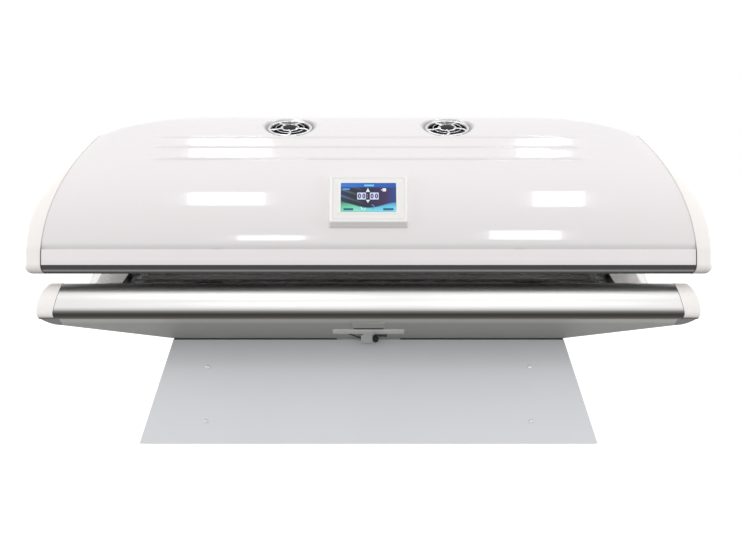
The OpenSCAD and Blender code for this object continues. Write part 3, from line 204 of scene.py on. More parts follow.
def roundedRing(width, height, radius, up, w):
    ring = []
    for k, (sx, sy) in enumerate(((1, 1), (-1, 1), (-1, -1), (1, -1))):
        for a in (math.radians(90 * k + 15 * n) for n in range(7)):
            ring.append((sx * (width / 2 - radius) + radius * math.cos(a),
                         up + sy * (height / 2 - radius) + radius * math.sin(a), w))
    return ring


def join(name, pieces, place=Matrix()):
    shape = bmesh.new()
    kept = []
    for piece in pieces:
        start = len(shape.faces)
        shape.from_mesh(piece.data)
        shape.faces.ensure_lookup_table()
        for face in shape.faces[start:]:
            own = piece.data.materials[face.material_index]
            if own not in kept:
                kept.append(own)
            face.material_index = kept.index(own)
    mesh = bpy.data.meshes.new(name)
    shape.to_mesh(mesh)
    shape.free()
    mesh.transform(place)
    for own in kept:
        mesh.materials.append(own)
    joined = addObject(name, mesh)
    for piece in pieces:
        bpy.data.objects.remove(piece)
    return joined


def carry(piece, body, node, instead=True):
    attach(piece, body)
    if instead:
        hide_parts(node)


# node trees

socketKinds = {float: "NodeSocketFloat", int: "NodeSocketInt", tuple: "NodeSocketColor"}


def newTree(kind, name, inputs, outputs):  # an input's value is what it starts at, or in words its kind
    tree = bpy.data.node_groups.new(name, kind)
    for label, value in inputs.items():
        inWords = isinstance(value, str)
        socketKind = value if inWords else socketKinds[type(value)]
        socket = tree.interface.new_socket(label, in_out="INPUT", socket_type=socketKind)
        if not inWords:
            socket.default_value = value
    for label, socketKind in outputs.items():
        tree.interface.new_socket(label, in_out="OUTPUT", socket_type=socketKind)
    return tree, tree.nodes.new("NodeGroupInput").outputs, tree.nodes.new("NodeGroupOutput")


def feed(tree, node, inputs):  # joins up nodes and sockets, and sets plain values
    for key, value in inputs.items():
        if isinstance(value, bpy.types.Node):
            value = value.outputs[0]
        if isinstance(value, bpy.types.NodeSocket):
            tree.links.new(value, node.inputs[key])
        else:
            node.inputs[key].default_value = value


def put(tree, kind, inputs=None, **settings):
    node = tree.nodes.new(kind)
    for key, value in settings.items():
        setattr(node, key, value)
    feed(tree, node, inputs or {})
    return node


def mathNode(tree, operation, a, b=0.5, clamp=False):
    return put(tree, "ShaderNodeMath", {0: a, 1: b}, operation=operation, use_clamp=clamp).outputs[0]


def mixColour(tree, factor, a, b, blend="MIX"):
    return put(tree, "ShaderNodeMix", {0: factor, 6: a, 7: b}, data_type="RGBA", blend_type=blend).outputs[2]


def spread(tree, value, low, high, toLow, toHigh):
    return put(tree, "ShaderNodeMapRange", {0: value, 1: low, 2: high, 3: toLow, 4: toHigh}).outputs[0]


def together(tree, x, y, z):
    return put(tree, "ShaderNodeCombineXYZ", {0: x, 1: y, 2: z}).outputs[0]


def apart(tree, vector):
    return put(tree, "ShaderNodeSeparateXYZ", {0: vector}).outputs


def ownPlace(tree):
    return put(tree, "ShaderNodeTexCoord").outputs["Object"]


def lookUp(tree):  # how far a face looks up, -1 to 1
    return apart(tree, put(tree, "ShaderNodeNewGeometry").outputs["Normal"])[2]


def noise(tree, vector, scale, detail, roughness):
    return put(tree, "ShaderNodeTexNoise", {"Vector": vector, "Scale": scale, "Detail": detail,
                                            "Roughness": roughness}).outputs[0]


def ramp(tree, value, stops):  # a stop's colour may be a plain grey number
    node = put(tree, "ShaderNodeValToRGB", {0: value})
    while len(node.color_ramp.elements) < len(stops):
        node.color_ramp.elements.new(0.5)
    for element, (place, colour) in zip(node.color_ramp.elements, stops):
        element.position = place
        element.color = colour if isinstance(colour, tuple) else (colour, colour, colour, 1.0)
    return node.outputs[0]


# shader groups, built once and placed in each finish

def buildGrain():  # the fine orange peel of paint and moulded plastic
    tree, given, result = newTree("ShaderNodeTree", "fineGrain", {"Scale": 900.0, "Strength": 0.1, "Height": 0.0002},
                                  {"Grain": "NodeSocketFloat", "Normal": "NodeSocketVector"})
    grain = noise(tree, ownPlace(tree), given["Scale"], 2.0, 0.55)
    bump = put(tree, "ShaderNodeBump", {"Height": grain, "Strength": given["Strength"], "Distance": given["Height"]})
    feed(tree, result, {"Grain": grain, "Normal": bump})
    return tree


def buildTint():  # slow changes of shade over a large surface
    tree, given, result = newTree("ShaderNodeTree", "slowTint", {"Colour": (0.8, 0.8, 0.8, 1.0),
                                                                 "Other": (0.7, 0.7, 0.7, 1.0),
                                                                 "Scale": 3.0, "Amount": 0.5},
                                  {"Colour": "NodeSocketColor"})
    patch = spread(tree, noise(tree, ownPlace(tree), given["Scale"], 3.0, 0.6), 0.3, 0.7, 0.0, given["Amount"])
    feed(tree, result, {"Colour": mixColour(tree, patch, given["Colour"], given["Other"])})
    return tree


def buildStreaks():  # the drawn lines of brushed or extruded metal along X
    tree, given, result = newTree("ShaderNodeTree", "drawnLines", {"Scale": 500.0, "Along": 0.01, "Strength": 0.2,
                                                                   "Smooth": 0.25, "Rough": 0.4},
                                  {"Roughness": "NodeSocketFloat", "Normal": "NodeSocketVector"})
    x, y, z = apart(tree, ownPlace(tree))
    drawn = together(tree, mathNode(tree, "MULTIPLY", x, given["Along"]), y, z)
    line = noise(tree, drawn, given["Scale"], 4.0, 0.65)
    bump = put(tree, "ShaderNodeBump", {"Height": line, "Strength": given["Strength"], "Distance": 0.0001})
    feed(tree, result, {"Roughness": spread(tree, line, 0.3, 0.7, given["Smooth"], given["Rough"]), "Normal": bump})
    return tree


def buildDust():  # what settles on faces that look up
    tree, given, result = newTree("ShaderNodeTree", "settledDust", {"Amount": 0.2, "Scale": 40.0},
                                  {"Dust": "NodeSocketFloat"})
    up = spread(tree, lookUp(tree), 0.3, 1.0, 0.0, 1.0)
    speck = spread(tree, noise(tree, ownPlace(tree), given["Scale"], 5.0, 0.7), 0.45, 0.75, 0.0, 1.0)
    feed(tree, result, {"Dust": mathNode(tree, "MULTIPLY", mathNode(tree, "MULTIPLY", up, speck), given["Amount"],
                                         clamp=True)})
    return tree


groups = {"grain": buildGrain(), "tint": buildTint(), "lines": buildStreaks(), "dust": buildDust()}


def placeGroup(tree, key, **values):
    return put(tree, "ShaderNodeGroup", values, node_tree=groups[key]).outputs


# finishes

def newMaterial(name):
    material = bpy.data.materials.new(name)
    material.use_nodes = True
    return material, material.node_tree, material.node_tree.nodes["Principled BSDF"]


def finish(name, colour, other, rough, vary, metal=0.0, coat=0.0, coatRough=0.03, tint=3.0, tintAmount=0.5,
           grain=(900.0, 0.1), grainHeight=0.0002, lines=None, dust=0.0, specular=0.5):
    material, tree, shader = newMaterial(name)
    colour = light(*colour)
    other = light(*other) if other else tuple(c * 0.9 for c in colour[:3]) + (1.0,)
    base = placeGroup(tree, "tint", Colour=colour, Other=other, Scale=tint, Amount=tintAmount)["Colour"]
    if lines:
        drawn = placeGroup(tree, "lines", Scale=lines[0], Along=lines[1], Strength=lines[2],
                           Smooth=rough, Rough=rough + vary)
        roughness, normal = drawn["Roughness"], drawn["Normal"]
    else:
        peel = placeGroup(tree, "grain", Scale=grain[0], Strength=grain[1], Height=grainHeight)
        roughness, normal = spread(tree, peel["Grain"], 0.3, 0.7, rough, rough + vary), peel["Normal"]
    if dust:
        settled = placeGroup(tree, "dust", Amount=dust)["Dust"]
        roughness = mathNode(tree, "ADD", roughness, mathNode(tree, "MULTIPLY", settled, 0.5))
        base = mixColour(tree, settled, base, light(176, 172, 166))
    feed(tree, shader, {"Base Color": base, "Roughness": roughness, "Normal": normal, "Metallic": metal, "IOR": 1.5,
                        "Specular IOR Level": specular, "Coat Weight": coat, "Coat Roughness": coatRough})
    return material


def clearFinish():  # acrylic that lets shadow rays through
    material, tree, shader = newMaterial("clearSheet")
    colour = (0.97, 0.985, 0.99)
    tint = placeGroup(tree, "tint", Colour=colour + (1.0,), Other=tuple(c * 0.97 for c in colour) + (1.0,), Scale=1.5)
    scratch = placeGroup(tree, "grain", Scale=35.0, Strength=0.03, Height=0.0002)
    feed(tree, shader, {"Base Color": tint["Colour"], "Normal": scratch["Normal"], "Transmission Weight": 1.0,
                        "Roughness": spread(tree, scratch["Grain"], 0.35, 0.75, 0.02, 0.07), "IOR": 1.49})
    shadowRay = put(tree, "ShaderNodeLightPath").outputs["Is Shadow Ray"]
    through = put(tree, "ShaderNodeBsdfTransparent", {"Color": (0.93, 0.94, 0.94, 1.0)})
    blend = put(tree, "ShaderNodeMixShader", {0: shadowRay, 1: shader, 2: through})
    feed(tree, tree.nodes["Material Output"], {"Surface": blend})
    return material


def paintedShadeByHeight(material, stops, underOnly=False, coatToo=False):  # paints shade and light into the colour by height on the object; stops: height and shade, from low to high
    tree = material.node_tree
    shader = tree.nodes["Principled BSDF"]
    own = shader.inputs["Base Color"].links[0].from_socket
    low, high = stops[0][0], stops[-1][0]
    level = spread(tree, apart(tree, ownPlace(tree))[2], low, high, 0.0, 1.0)
    shade = ramp(tree, level, [((z - low) / (high - low), colour) for z, colour in stops])
    amount = spread(tree, lookUp(tree), -0.15, 0.10, 1.0, 0.0) if underOnly else 1.0
    if coatToo:
        coat = mathNode(tree, "MULTIPLY", mixColour(tree, amount, white, shade),
                        shader.inputs["Coat Weight"].default_value)
        feed(tree, shader, {"Coat Weight": coat})
    feed(tree, shader, {"Base Color": mixColour(tree, amount, own, shade, "MULTIPLY")})


looks = {  # screen colour, its other shade, roughness, how far that varies, and the rest
    "shellGloss": ((238, 234, 235), (233, 229, 230), 0.08, 0.03,
                   dict(coat=0.7, coatRough=0.01, grain=(45, 0.012), grainHeight=0.001, tint=1.3, dust=0.04)),
    "capGloss": ((251, 247, 244), (247, 243, 239), 0.2, 0.05,
                 dict(coat=0.5, coatRough=0.04, grain=(60, 0.015), grainHeight=0.001, tint=2.0, dust=0.04)),
    "baseCapGloss": ((251, 247, 244), (247, 243, 239), 0.22, 0.06,
                     dict(coat=0.5, coatRough=0.05, grain=(60, 0.015), grainHeight=0.001, tint=2.0, dust=0.06)),
    "bandGloss": ((246, 241, 242), (240, 235, 237), 0.2, 0.05,
                  dict(coat=0.4, coatRough=0.05, grain=(60, 0.012), grainHeight=0.001)),
    "trimGrey": ((44, 42, 41), (37, 36, 35), 0.34, 0.1, dict(lines=(700.0, 0.02, 0.15))),
    "linerGrey": ((50, 51, 49), (42, 43, 42), 0.4, 0.12, dict(grain=(1300, 0.2), dust=0.05)),
    "seamRubber": ((62, 58, 58), (48, 46, 46), 0.6, 0.08, dict(grain=(1800, 0.1))),
    "seamSoft": ((214, 210, 208), (204, 200, 198), 0.6, 0.08, dict(grain=(1800, 0.1))),
    "stripAlloy": ((202, 203, 201), (186, 187, 185), 0.42, 0.12, dict(metal=0.5, lines=(1100.0, 0.02, 0.3), tint=20.0)),
    "hubBlack": ((20, 20, 21), (27, 27, 28), 0.5, 0.12, dict(grain=(1600, 0.15), specular=0.25)),
    "railSatin": ((232, 231, 229), (222, 222, 221), 0.27, 0.1, dict(metal=1.0, lines=(900.0, 0.004, 0.12), tint=2.0)),
    "hullPaint": ((186, 185, 183), (179, 178, 176), 0.38, 0.12,
                  dict(grain=(1500, 0.25), grainHeight=0.0003, dust=0.05, tint=2.5)),
    "pedestalPaint": ((221, 222, 225), (215, 216, 220), 0.42, 0.14,
                      dict(grain=(1500, 0.25), grainHeight=0.0003, tint=2.0)),
    "framePaint": ((84, 85, 88), (70, 71, 74), 0.5, 0.08, dict(grain=(1300, 0.25), dust=0.2)),
    "zincSheet": ((178, 181, 184), (150, 154, 158), 0.34, 0.2,
                  dict(metal=1.0, grain=(120, 0.05), tint=25.0, tintAmount=0.9)),
    "brightSheet": ((186, 187, 189), (174, 175, 178), 0.12, 0.1, dict(metal=1.0, lines=(600.0, 0.01, 0.08))),
    "chromePlate": ((226, 228, 230), (214, 216, 219), 0.05, 0.06, dict(metal=1.0, grain=(300, 0.02), tint=30.0)),
    "dullAlloy": ((146, 147, 146), (130, 131, 130), 0.38, 0.12, dict(metal=0.6, lines=(1200.0, 0.03, 0.3), tint=30.0)),
    "steelBright": ((200, 200, 202), (182, 182, 186), 0.25, 0.15, dict(metal=1.0, grain=(700, 0.05), tint=40.0)),
    "blackMoulded": ((28, 28, 29), (38, 38, 40), 0.42, 0.16, dict(grain=(2200, 0.25), dust=0.15)),
    "blackPaint": ((30, 30, 32), (24, 24, 26), 0.26, 0.1, dict(grain=(1200, 0.1), coat=0.3, coatRough=0.1)),
    "padRubber": ((32, 32, 32), (46, 45, 44), 0.75, 0.15, dict(grain=(1600, 0.4), dust=0.3)),
    "whiteMoulded": ((232, 230, 224), (222, 219, 212), 0.38, 0.1, dict(grain=(1400, 0.12))),
    "redMoulded": ((178, 26, 24), (150, 18, 18), 0.26, 0.08, dict(grain=(1400, 0.08), coat=0.3)),
    "ballastCase": ((146, 150, 154), (126, 130, 134), 0.4, 0.15,
                    dict(metal=0.7, grain=(300, 0.08), tint=12.0, dust=0.2)),
    "lampCoat": ((62, 50, 47), (73, 59, 55), 0.2, 0.08, dict(coat=0.7, grain=(260, 0.03), tint=5.0)),
    "boardGreen": ((22, 82, 48), (16, 62, 38), 0.35, 0.12, dict(grain=(500, 0.12), tint=60.0)),
    "bezelWhite": ((240, 239, 237), (234, 233, 231), 0.24, 0.06, dict(grain=(1500, 0.06), coat=0.3, coatRough=0.05)),
    "screenBlack": ((14, 15, 20), (10, 11, 16), 0.06, 0.04, dict(grain=(60, 0.01), coat=0.6)),
}
for key, (colour, other, rough, vary, rest) in looks.items():
    finishes[key] = finish(key, colour, other, rough, vary, **rest)
finishes["clearSheet"] = clearFinish()

# painted reflection and shade on the front rail: a dark olive band low on its face, a dark foot and a slightly brighter
# top
paintedShadeByHeight(finishes["railSatin"], [
    (0.366, 0.14), (0.370, 0.14), (0.3725, (0.07, 0.064, 0.056, 1.0)), (0.382, (0.05, 0.046, 0.04, 1.0)),
    (0.389, 0.2), (0.395, 0.7), (0.401, 1.0), (0.440, 1.0), (0.460, 1.1)])
# painted shade: the tub's panels darker towards their lower edge
paintedShadeByHeight(finishes["hullPaint"], [(0.285, 0.575), (0.345, 0.68), (0.354, 0.97), (0.368, 1.0)])
# painted shade and light on the canopy band: almost black at its lower edge with a paler painted line just above, then
# up to full colour; the coat is dimmed the same way
paintedShadeByHeight(finishes["bandGloss"], [
    (0.492, 0.01), (0.4995, 0.02), (0.5007, 0.20), (0.5055, 0.22), (0.513, 0.88), (0.535, 1.0)], coatToo=True)
# painted shade on the shell: darker in the crease just above the band, and slightly darker towards its lower edge
paintedShadeByHeight(finishes["shellGloss"], [(0.560, 0.80), (0.568, 0.80), (0.579, 0.95), (0.620, 0.955), (0.760, 1.0)])
# painted shadow: the pedestal darker towards its top, under the tub
paintedShadeByHeight(finishes["pedestalPaint"], [(0.0, 1.0), (0.10, 0.95), (0.20, 0.87), (0.284, 0.68)])
# painted shade: the display frame darker on its lower side
paintedShadeByHeight(finishes["bezelWhite"], [(0.600, 0.73), (0.637, 0.73), (0.640, 1.0), (0.900, 1.0)])
# painted shade: the canopy caps darker at their bottom corners, with the coat dimmed there
paintedShadeByHeight(finishes["capGloss"], [(0.492, 0.26), (0.500, 0.52), (0.509, 0.78), (0.521, 1.0)], coatToo=True)
# painted shade: the base caps darker on faces that look down, with the coat dimmed there
paintedShadeByHeight(finishes["baseCapGloss"], [(0.338, 0.04), (0.350, 0.05), (0.3695, 0.08), (0.375, 0.70), (0.390, 1.0)],
              underOnly=True, coatToo=True)
# painted shade in the seam: the bead nearly black below the band's top, lightening to its own pale grey higher up
paintedShadeByHeight(finishes["seamSoft"], [(0.490, 0.05), (0.558, 0.06), (0.568, 0.5), (0.600, 0.8), (0.700, 1.0)])

nodesOf = {
    "padRubber": "floor_pads",
    "framePaint": "pedestal_frame hinge_brackets hinge_arms",
    "pedestalPaint": "pedestal_front_panel pedestal_back_panel pedestal_left_panel pedestal_right_panel",
    "steelBright": "pedestal_screws hinge_pins",
    "zincSheet": "supply_case base_bulkheads canopy_bulkheads canopy_hoops",
    "blackMoulded": "mains_inlet latch_knob fan_housings fan_rotor_left fan_rotor_right",
    "redMoulded": "mains_switch",
    "hullPaint": "tub_bottom_plate tub_front_panel tub_back_panel tub_left_panel tub_right_panel front_panel_pull",
    "stripAlloy": "latch_strip",
    "dullAlloy": "latch_block",
    "railSatin": "base_front_rail base_back_rail",
    "baseCapGloss": "base_left_cap base_right_cap",
    "brightSheet": "base_reflector base_lamp_caps canopy_reflector canopy_lamp_caps",
    "lampCoat": "base_lamps canopy_lamps",
    "whiteMoulded": "base_lamp_holders canopy_lamp_holders",
    "ballastCase": "base_ballasts canopy_ballasts",
    "clearSheet": "lower_sheet upper_sheet",
    "blackPaint": "left_strut_cylinder right_strut_cylinder",
    "chromePlate": "left_strut_rod right_strut_rod fan_guards",
    "shellGloss": "canopy_shell",
    "capGloss": "canopy_left_cap canopy_right_cap fan_rings",
    "bandGloss": "canopy_front_rail canopy_back_rail",
    "trimGrey": "canopy_trim",
    "bezelWhite": "display_frame",
    "screenBlack": "display_glass",
    "boardGreen": "control_board",
}
for key, names in nodesOf.items():
    for nodeName in names.split():
        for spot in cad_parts[nodeName].material_slots:
            spot.material = finishes[key]
print("finishes on", sum(len(names.split()) for names in nodesOf.values()), "CAD nodes")


# the canopy's smooth covers

canopy = {
    "halfLength": 0.960, "outlineFoot": 0.450, "outlineRise": 0.470, "powerX": 6.0, "powerZ": 3.05,
    "barrelZ": 0.479, "barrelR": 0.438, "sill": 0.493, "bandTop": 0.563, "bandY": 0.42987,
    "archR": 0.441666, "archZ": 0.288334, "capWidth": 0.048, "seamLean": 0.113, "seamHeight": 0.361,
    "seamPower": 2.4, "sheetX": 0.7955, "wall": 0.0032, "footR": 0.008, "cornerR": 0.024,
    "roll": 0.0048, "rollWide": 0.0180,   # the shell's lower edge rolls in above the band
    "straightX": 0.600,   # where the rounded end begins
    "softSide": 0.012, "softShoulder": 0.042,   # how far the end blends into the barrel
    "seamGap": 0.0006, "seamFoot": 0.022, "seamHook": 0.013,
    "rimWide": 0.052, "rimR": 0.004, "linerColumns": 6,
    "ribAngles": (28.7, 35.1, 41.7), "ribHalf": 0.640, "ribHeight": 0.0050, "ribWide": 0.0085, "ribFade": 0.07,
    "bandWall": 0.0028, "trimLow": 0.0125, "trimHigh": 0.0262, "trimProud": 0.0006, "trimWall": 0.0016,
    "trimGap": 0.0012, "arcPerRadian": 0.44,   # metres on the cover for one radian at the sill
    "slotY": (0.343, 0.390), "capSlotZ": (0.49, 0.583), "bandSlotZ": (0.49, 0.52),
}
openings = {"fanX": 0.234, "fanTilt": 18.0, "fanHole": 0.0803, "fanHoleDeep": 0.12,
            "panelTilt": 61.0, "panelHalf": (0.072, 0.042, 0.03)}
creaseAngle = math.atan2(canopy["bandY"], canopy["bandTop"] - canopy["sill"])
profiles = {}


def outlineGap(x, z):
    c = canopy
    a = abs(x) / c["halfLength"]
    u = max(z - c["outlineFoot"], 0.0) / c["outlineRise"]
    slope = math.hypot(c["powerX"] * a ** (c["powerX"] - 1) / c["halfLength"],
                       c["powerZ"] * u ** (c["powerZ"] - 1) / c["outlineRise"])
    gap = (a ** c["powerX"] + u ** c["powerZ"] - 1) / max(slope, 1.0)
    foot = c["sill"] + c["cornerR"] - z
    inner = abs(x) - (c["halfLength"] - c["cornerR"])
    if foot > 0 and inner > 0:
        gap = max(gap, math.hypot(inner, foot) - c["cornerR"])
    return gap


def sectionGap(y, z):
    c = canopy
    if z >= c["bandTop"]:
        return math.hypot(y, z - c["barrelZ"]) - c["barrelR"]
    foot = c["sill"] + c["footR"] - z
    inner = abs(y) - (c["bandY"] - c["footR"])
    if foot > 0 and inner > 0:
        return math.hypot(inner, foot) - c["footR"]
    return abs(y) - c["bandY"]


def coverGap(x, radius, angle):  # angle from straight up towards the front
    c = canopy
    y, z = -radius * math.sin(angle), c["sill"] + radius * math.cos(angle)
    soft = c["softSide"] * math.sin(angle) ** 2 + c["softShoulder"] * math.sin(2 * angle) ** 6 + 1e-6
    a, b = outlineGap(x, z), sectionGap(y, z)
    meet = max(soft - abs(a - b), 0) / soft
    return max(a, b) + meet * meet * soft / 4


def rayReach(angle, centreZ, radius):  # from the middle of the sill to a circle
    h = canopy["sill"] - centreZ
    return -math.cos(angle) * h + math.sqrt(radius ** 2 - h * h * math.sin(angle) ** 2)


def seamX(z):
    c = canopy
    up = z - c["sill"]
    low = max(0.0, 1 - up / c["seamFoot"])
    return (c["halfLength"] - c["capWidth"]
            - c["seamLean"] * max(0.0, up / c["seamHeight"]) ** c["seamPower"] - c["seamHook"] * low ** 2)


def angleOnBarrel(angle):  # the same ray, measured from the barrel's own centre
    reach = rayReach(angle, canopy["barrelZ"], canopy["barrelR"])
    return math.atan2(reach * math.sin(angle), canopy["sill"] - canopy["barrelZ"] + reach * math.cos(angle))


def fromBarrelAngle(degrees):
    c = canopy
    y = c["barrelR"] * math.sin(math.radians(degrees))
    z = c["barrelZ"] + c["barrelR"] * math.cos(math.radians(degrees)) - c["sill"]
    return math.atan2(y, z)


def ribLift(x, angle):
    c = canopy
    lift = 0.0
    for rib in c["ribAngles"]:
        across = (angleOnBarrel(angle) - math.radians(rib)) * c["barrelR"]
        if abs(across) < c["ribWide"]:
            lift += c["ribHeight"] * math.cos(across / c["ribWide"] * math.pi / 2) ** 2
    return lift * eased((c["ribHalf"] - abs(x)) / c["ribFade"])


def coverProfile(angle):  # from the straight middle out to the arch's rim, as (x, radius)
    c = canopy
    start, end = c["straightX"], c["halfLength"]
    inner = rayReach(angle, c["archZ"], c["archR"])
    outer = solveFor(lambda r: coverGap(start, r, angle), inner * 0.9, 0.5)
    aims = [(start + (end - start) * k / 130, outer) for k in range(131)]
    aims += [(end, outer + (inner - outer) * k / 60) for k in range(1, 60)]
    path = []
    for x, r in aims:
        dx, dr = x - start, r - inner
        size = math.hypot(dx, dr)
        dx, dr = dx / size, dr / size
        s = solveFor(lambda t: coverGap(start + dx * t, inner + dr * t, angle), 0.0, size * 1.05)
        path.append((start + dx * s, inner + dr * s))
    return path + [(solveFor(lambda x: coverGap(x, inner, angle), 0.7, 0.97), inner)]


def profileAt(angle):
    key = round(abs(angle), 7)
    if key not in profiles:
        profiles[key] = coverProfile(abs(angle))
    return profiles[key]


def placeOnRay(x, radius, angle):
    return (x, -radius * math.sin(angle), canopy["sill"] + radius * math.cos(angle))


def splitAtSeam(angle, shift):  # the shell's part of a profile and the end cap's
    path = profileAt(angle)

    def past(p):
        return p[0] - shift - seamX(canopy["sill"] + p[1] * math.cos(angle))

    for k in range(1, len(path)):
        if past(path[k]) > 0:
            a, b = path[k - 1], path[k]
            fa, fb = past(a), past(b)
            t = fa / (fa - fb) if fb != fa else 0
            cut = (a[0] + (b[0] - a[0]) * t, a[1] + (b[1] - a[1]) * t)
            return path[:k] + [cut], [cut] + path[k:]
    return path, [path[-1]]


def coverAngles(forShell):  # from the front foot over the top to the back one
    c = canopy
    top, ribs = [math.radians(d) for d in range(77, 0, -2)], []
    if forShell:
        side = [creaseAngle] + [creaseAngle - d / c["arcPerRadian"] for d in (
            0.0006, 0.0015, 0.003, 0.005, 0.0075, 0.0105, 0.0140, 0.0180)]
        ribs = sorted({fromBarrelAngle(r + s * 0.9 * k / 5) for r in c["ribAngles"] for k in range(6) for s in (-1, 1)})
        top = [a for a in top if not any(abs(a - r) < math.radians(0.25) for r in ribs)]
    else:
        heights = (0, 0.0008, 0.002, 0.0035, 0.0055, 0.008, 0.011, 0.015, 0.020, 0.028,
                   0.038, 0.05, 0.058, 0.064, 0.0655, 0.067, 0.0682, 0.0692)
        side = [math.atan2(c["bandY"], h) for h in heights] + [creaseAngle, math.radians(79)]
    front, back = (side + sorted(angles, reverse=True) for angles in (top + ribs, top))
    return front + [0.0] + [-a for a in reversed(back)]


def edgeRoll(angle):
    away = abs(abs(angle) - creaseAngle) * canopy["arcPerRadian"]
    return canopy["roll"] * max(0.0, 1 - away / canopy["rollWide"]) ** 1.7


def onBarrel(x, degrees):  # a place on the barrel, Z outwards and Y up the slope
    a = math.radians(degrees)
    out, up = Vector((0, -math.sin(a), math.cos(a))), Vector((0, math.cos(a), math.sin(a)))
    origin = Vector((x, 0, canopy["barrelZ"])) + out * canopy["barrelR"]
    return Matrix(((1, up.x, out.x, origin.x), (0, up.y, out.y, origin.y), (0, up.z, out.z, origin.z), (0, 0, 0, 1)))


def onFan(side):
    return onBarrel(side * openings["fanX"], openings["fanTilt"])


def buildShell():
    c = canopy
    rows = []
    for angle in coverAngles(True):
        half = [(k / 20, solveFor(lambda r: coverGap(k / 20, r, abs(angle)), 0.2, 0.5)) for k in range(12)]
        half += alongLine(splitAtSeam(angle, -c["seamGap"] / 2)[0], 30)
        half = [(x, r - edgeRoll(angle) + (ribLift(x, angle) if angle > 0 else 0)) for x, r in half]
        rows.append([placeOnRay(-x, r, angle) for x, r in reversed(half[1:])]
                    + [placeOnRay(x, r, angle) for x, r in half])
    shell = thicken(faceOutwards(gridPiece("canopyShell", rows, "shellGloss", 30)), c["wall"])
    o = openings
    cutters = [roundTool(onFan(side), o["fanHole"], o["fanHoleDeep"]) for side in (-1, 1)]
    cutters.append(boxTool([-s for s in o["panelHalf"]], o["panelHalf"], onBarrel(0, o["panelTilt"])))
    return cutOut(shell, cutters)


def buildEndCap(side):
    c = canopy
    rows = []
    for angle in coverAngles(False):
        outer = alongLine(splitAtSeam(angle, c["seamGap"] / 2)[1], 84)
        rim = outer[-1]
        turn = roundedCorner(outer[-4], rim, (rim[0] - 0.03, rim[1]), c["rimR"])
        kept = outer[:-3] if math.dist(outer[-4], turn[0]) > 0.0004 else outer[:-4]
        loop = alongLine(kept + turn[:1], 76)[:-1] + turn
        edge = (turn[-1][0] - c["rimWide"], rim[1])
        loop += alongLine([turn[-1], edge], 4)[1:] + alongLine([edge, (c["sheetX"], rim[1])], c["linerColumns"])[1:]
        rows.append([placeOnRay(side * x, r, angle) for x, r in loop])
    cap = gridPiece("canopyCapLeft" if side < 0 else "canopyCapRight", rows, "capGloss", 30, ends=True)
    cap.data.materials.append(finishes["linerGrey"])
    columns = len(rows[0])
    for face in cap.data.polygons[:-2]:
        if face.index % (columns - 1) >= columns - c["linerColumns"]:
            face.material_index = 1
    thicken(faceToward(faceOutwards(cap), (0, 0, 1), 0.75), c["wall"])
    return cutOut(cap, [slotTool(side, c["slotY"], c["capSlotZ"])])


def acrossRow(y, z, gap):
    end = seamX(z) - gap
    return [(end * (2 * k / 40 - 1), y, z) for k in range(41)]


def buildBand(front):
    c = canopy
    top, sill = c["bandTop"], c["sill"]
    section = [(-0.4248, top - 0.0006), (-0.4272, top - 0.0004), (-0.4290, top - 0.0003)]
    for angle in sorted(a for a in coverAngles(False) if a >= creaseAngle - 1e-6):
        r = solveFor(lambda t: sectionGap(t * math.sin(angle), sill + t * math.cos(angle)), 0.3, 0.5)
        z = sill + r * math.cos(angle)
        level = angle >= math.pi / 2 - 1e-6
        section.append((-(c["bandY"] - c["footR"]) if level else -(z - sill) * math.tan(angle), z))
    section += [(-0.405, sill), (-0.3905, sill), (-0.388, sill + 0.001), (-0.3875, sill + 0.012)]
    way = 1 if front else -1
    rows = [acrossRow(way * y, z, c["seamGap"] / 2) for y, z in section]
    band = faceOutwards(gridPiece("canopyBandFront" if front else "canopyBandBack", rows, "bandGloss", 30))
    thicken(faceToward(band, (0, -way, 0), sill + 0.02), c["bandWall"])
    return band if front else cutOut(band, [slotTool(side, c["slotY"], c["bandSlotZ"]) for side in (-1, 1)])


def buildTrim():
    c = canopy
    rows = []
    for t in (k / 12 for k in range(13)):
        bulge = c["trimProud"] * (1 - (2 * t - 1) ** 6) ** 0.5
        z = c["sill"] + c["trimLow"] + (c["trimHigh"] - c["trimLow"]) * t
        rows.append(acrossRow(-(c["bandY"] + bulge - 0.0001), z, c["trimGap"]))
    trim = faceToward(faceOutwards(gridPiece("canopyTrim", rows, "trimGrey", 50)), (0, -1, 0))
    return thicken(trim, c["trimWall"], 50)


covers = [(buildShell(), "canopy_shell"), (buildEndCap(-1), "canopy_left_cap"), (buildEndCap(1), "canopy_right_cap"),
          (buildBand(True), "canopy_front_rail"), (buildBand(False), "canopy_back_rail"), (buildTrim(), "canopy_trim")]
print("canopy covers made,", len(profiles), "profiles")
for cover, node in covers:
    carry(cover, "canopy", node)


# geometry node trees: a tube on a path, heads on points, spokes round a hub

def growTree(name, inputs):
    shape = "NodeSocketGeometry"
    return newTree("GeometryNodeTree", name, {"Geometry": shape, **inputs, "Finish": "NodeSocketMaterial"},
                   {"Geometry": shape})


def endTree(tree, given, result, geometry):
    real = put(tree, "GeometryNodeRealizeInstances", {0: geometry})
    feed(tree, result, {0: put(tree, "GeometryNodeSetMaterial", {"Geometry": real, "Material": given["Finish"]})})
    return tree


def buildTubeTree():
    tree, given, result = growTree("tubeOnPath", {"Radius": 0.001, "Sides": 10})
    path = put(tree, "GeometryNodeMeshToCurve", {0: given["Geometry"]})
    ring = put(tree, "GeometryNodeCurvePrimitiveCircle", {"Resolution": given["Sides"], "Radius": given["Radius"]})
    tube = put(tree, "GeometryNodeCurveToMesh", {"Curve": path, "Profile Curve": ring, "Fill Caps": True})
    return endTree(tree, given, result, tube)


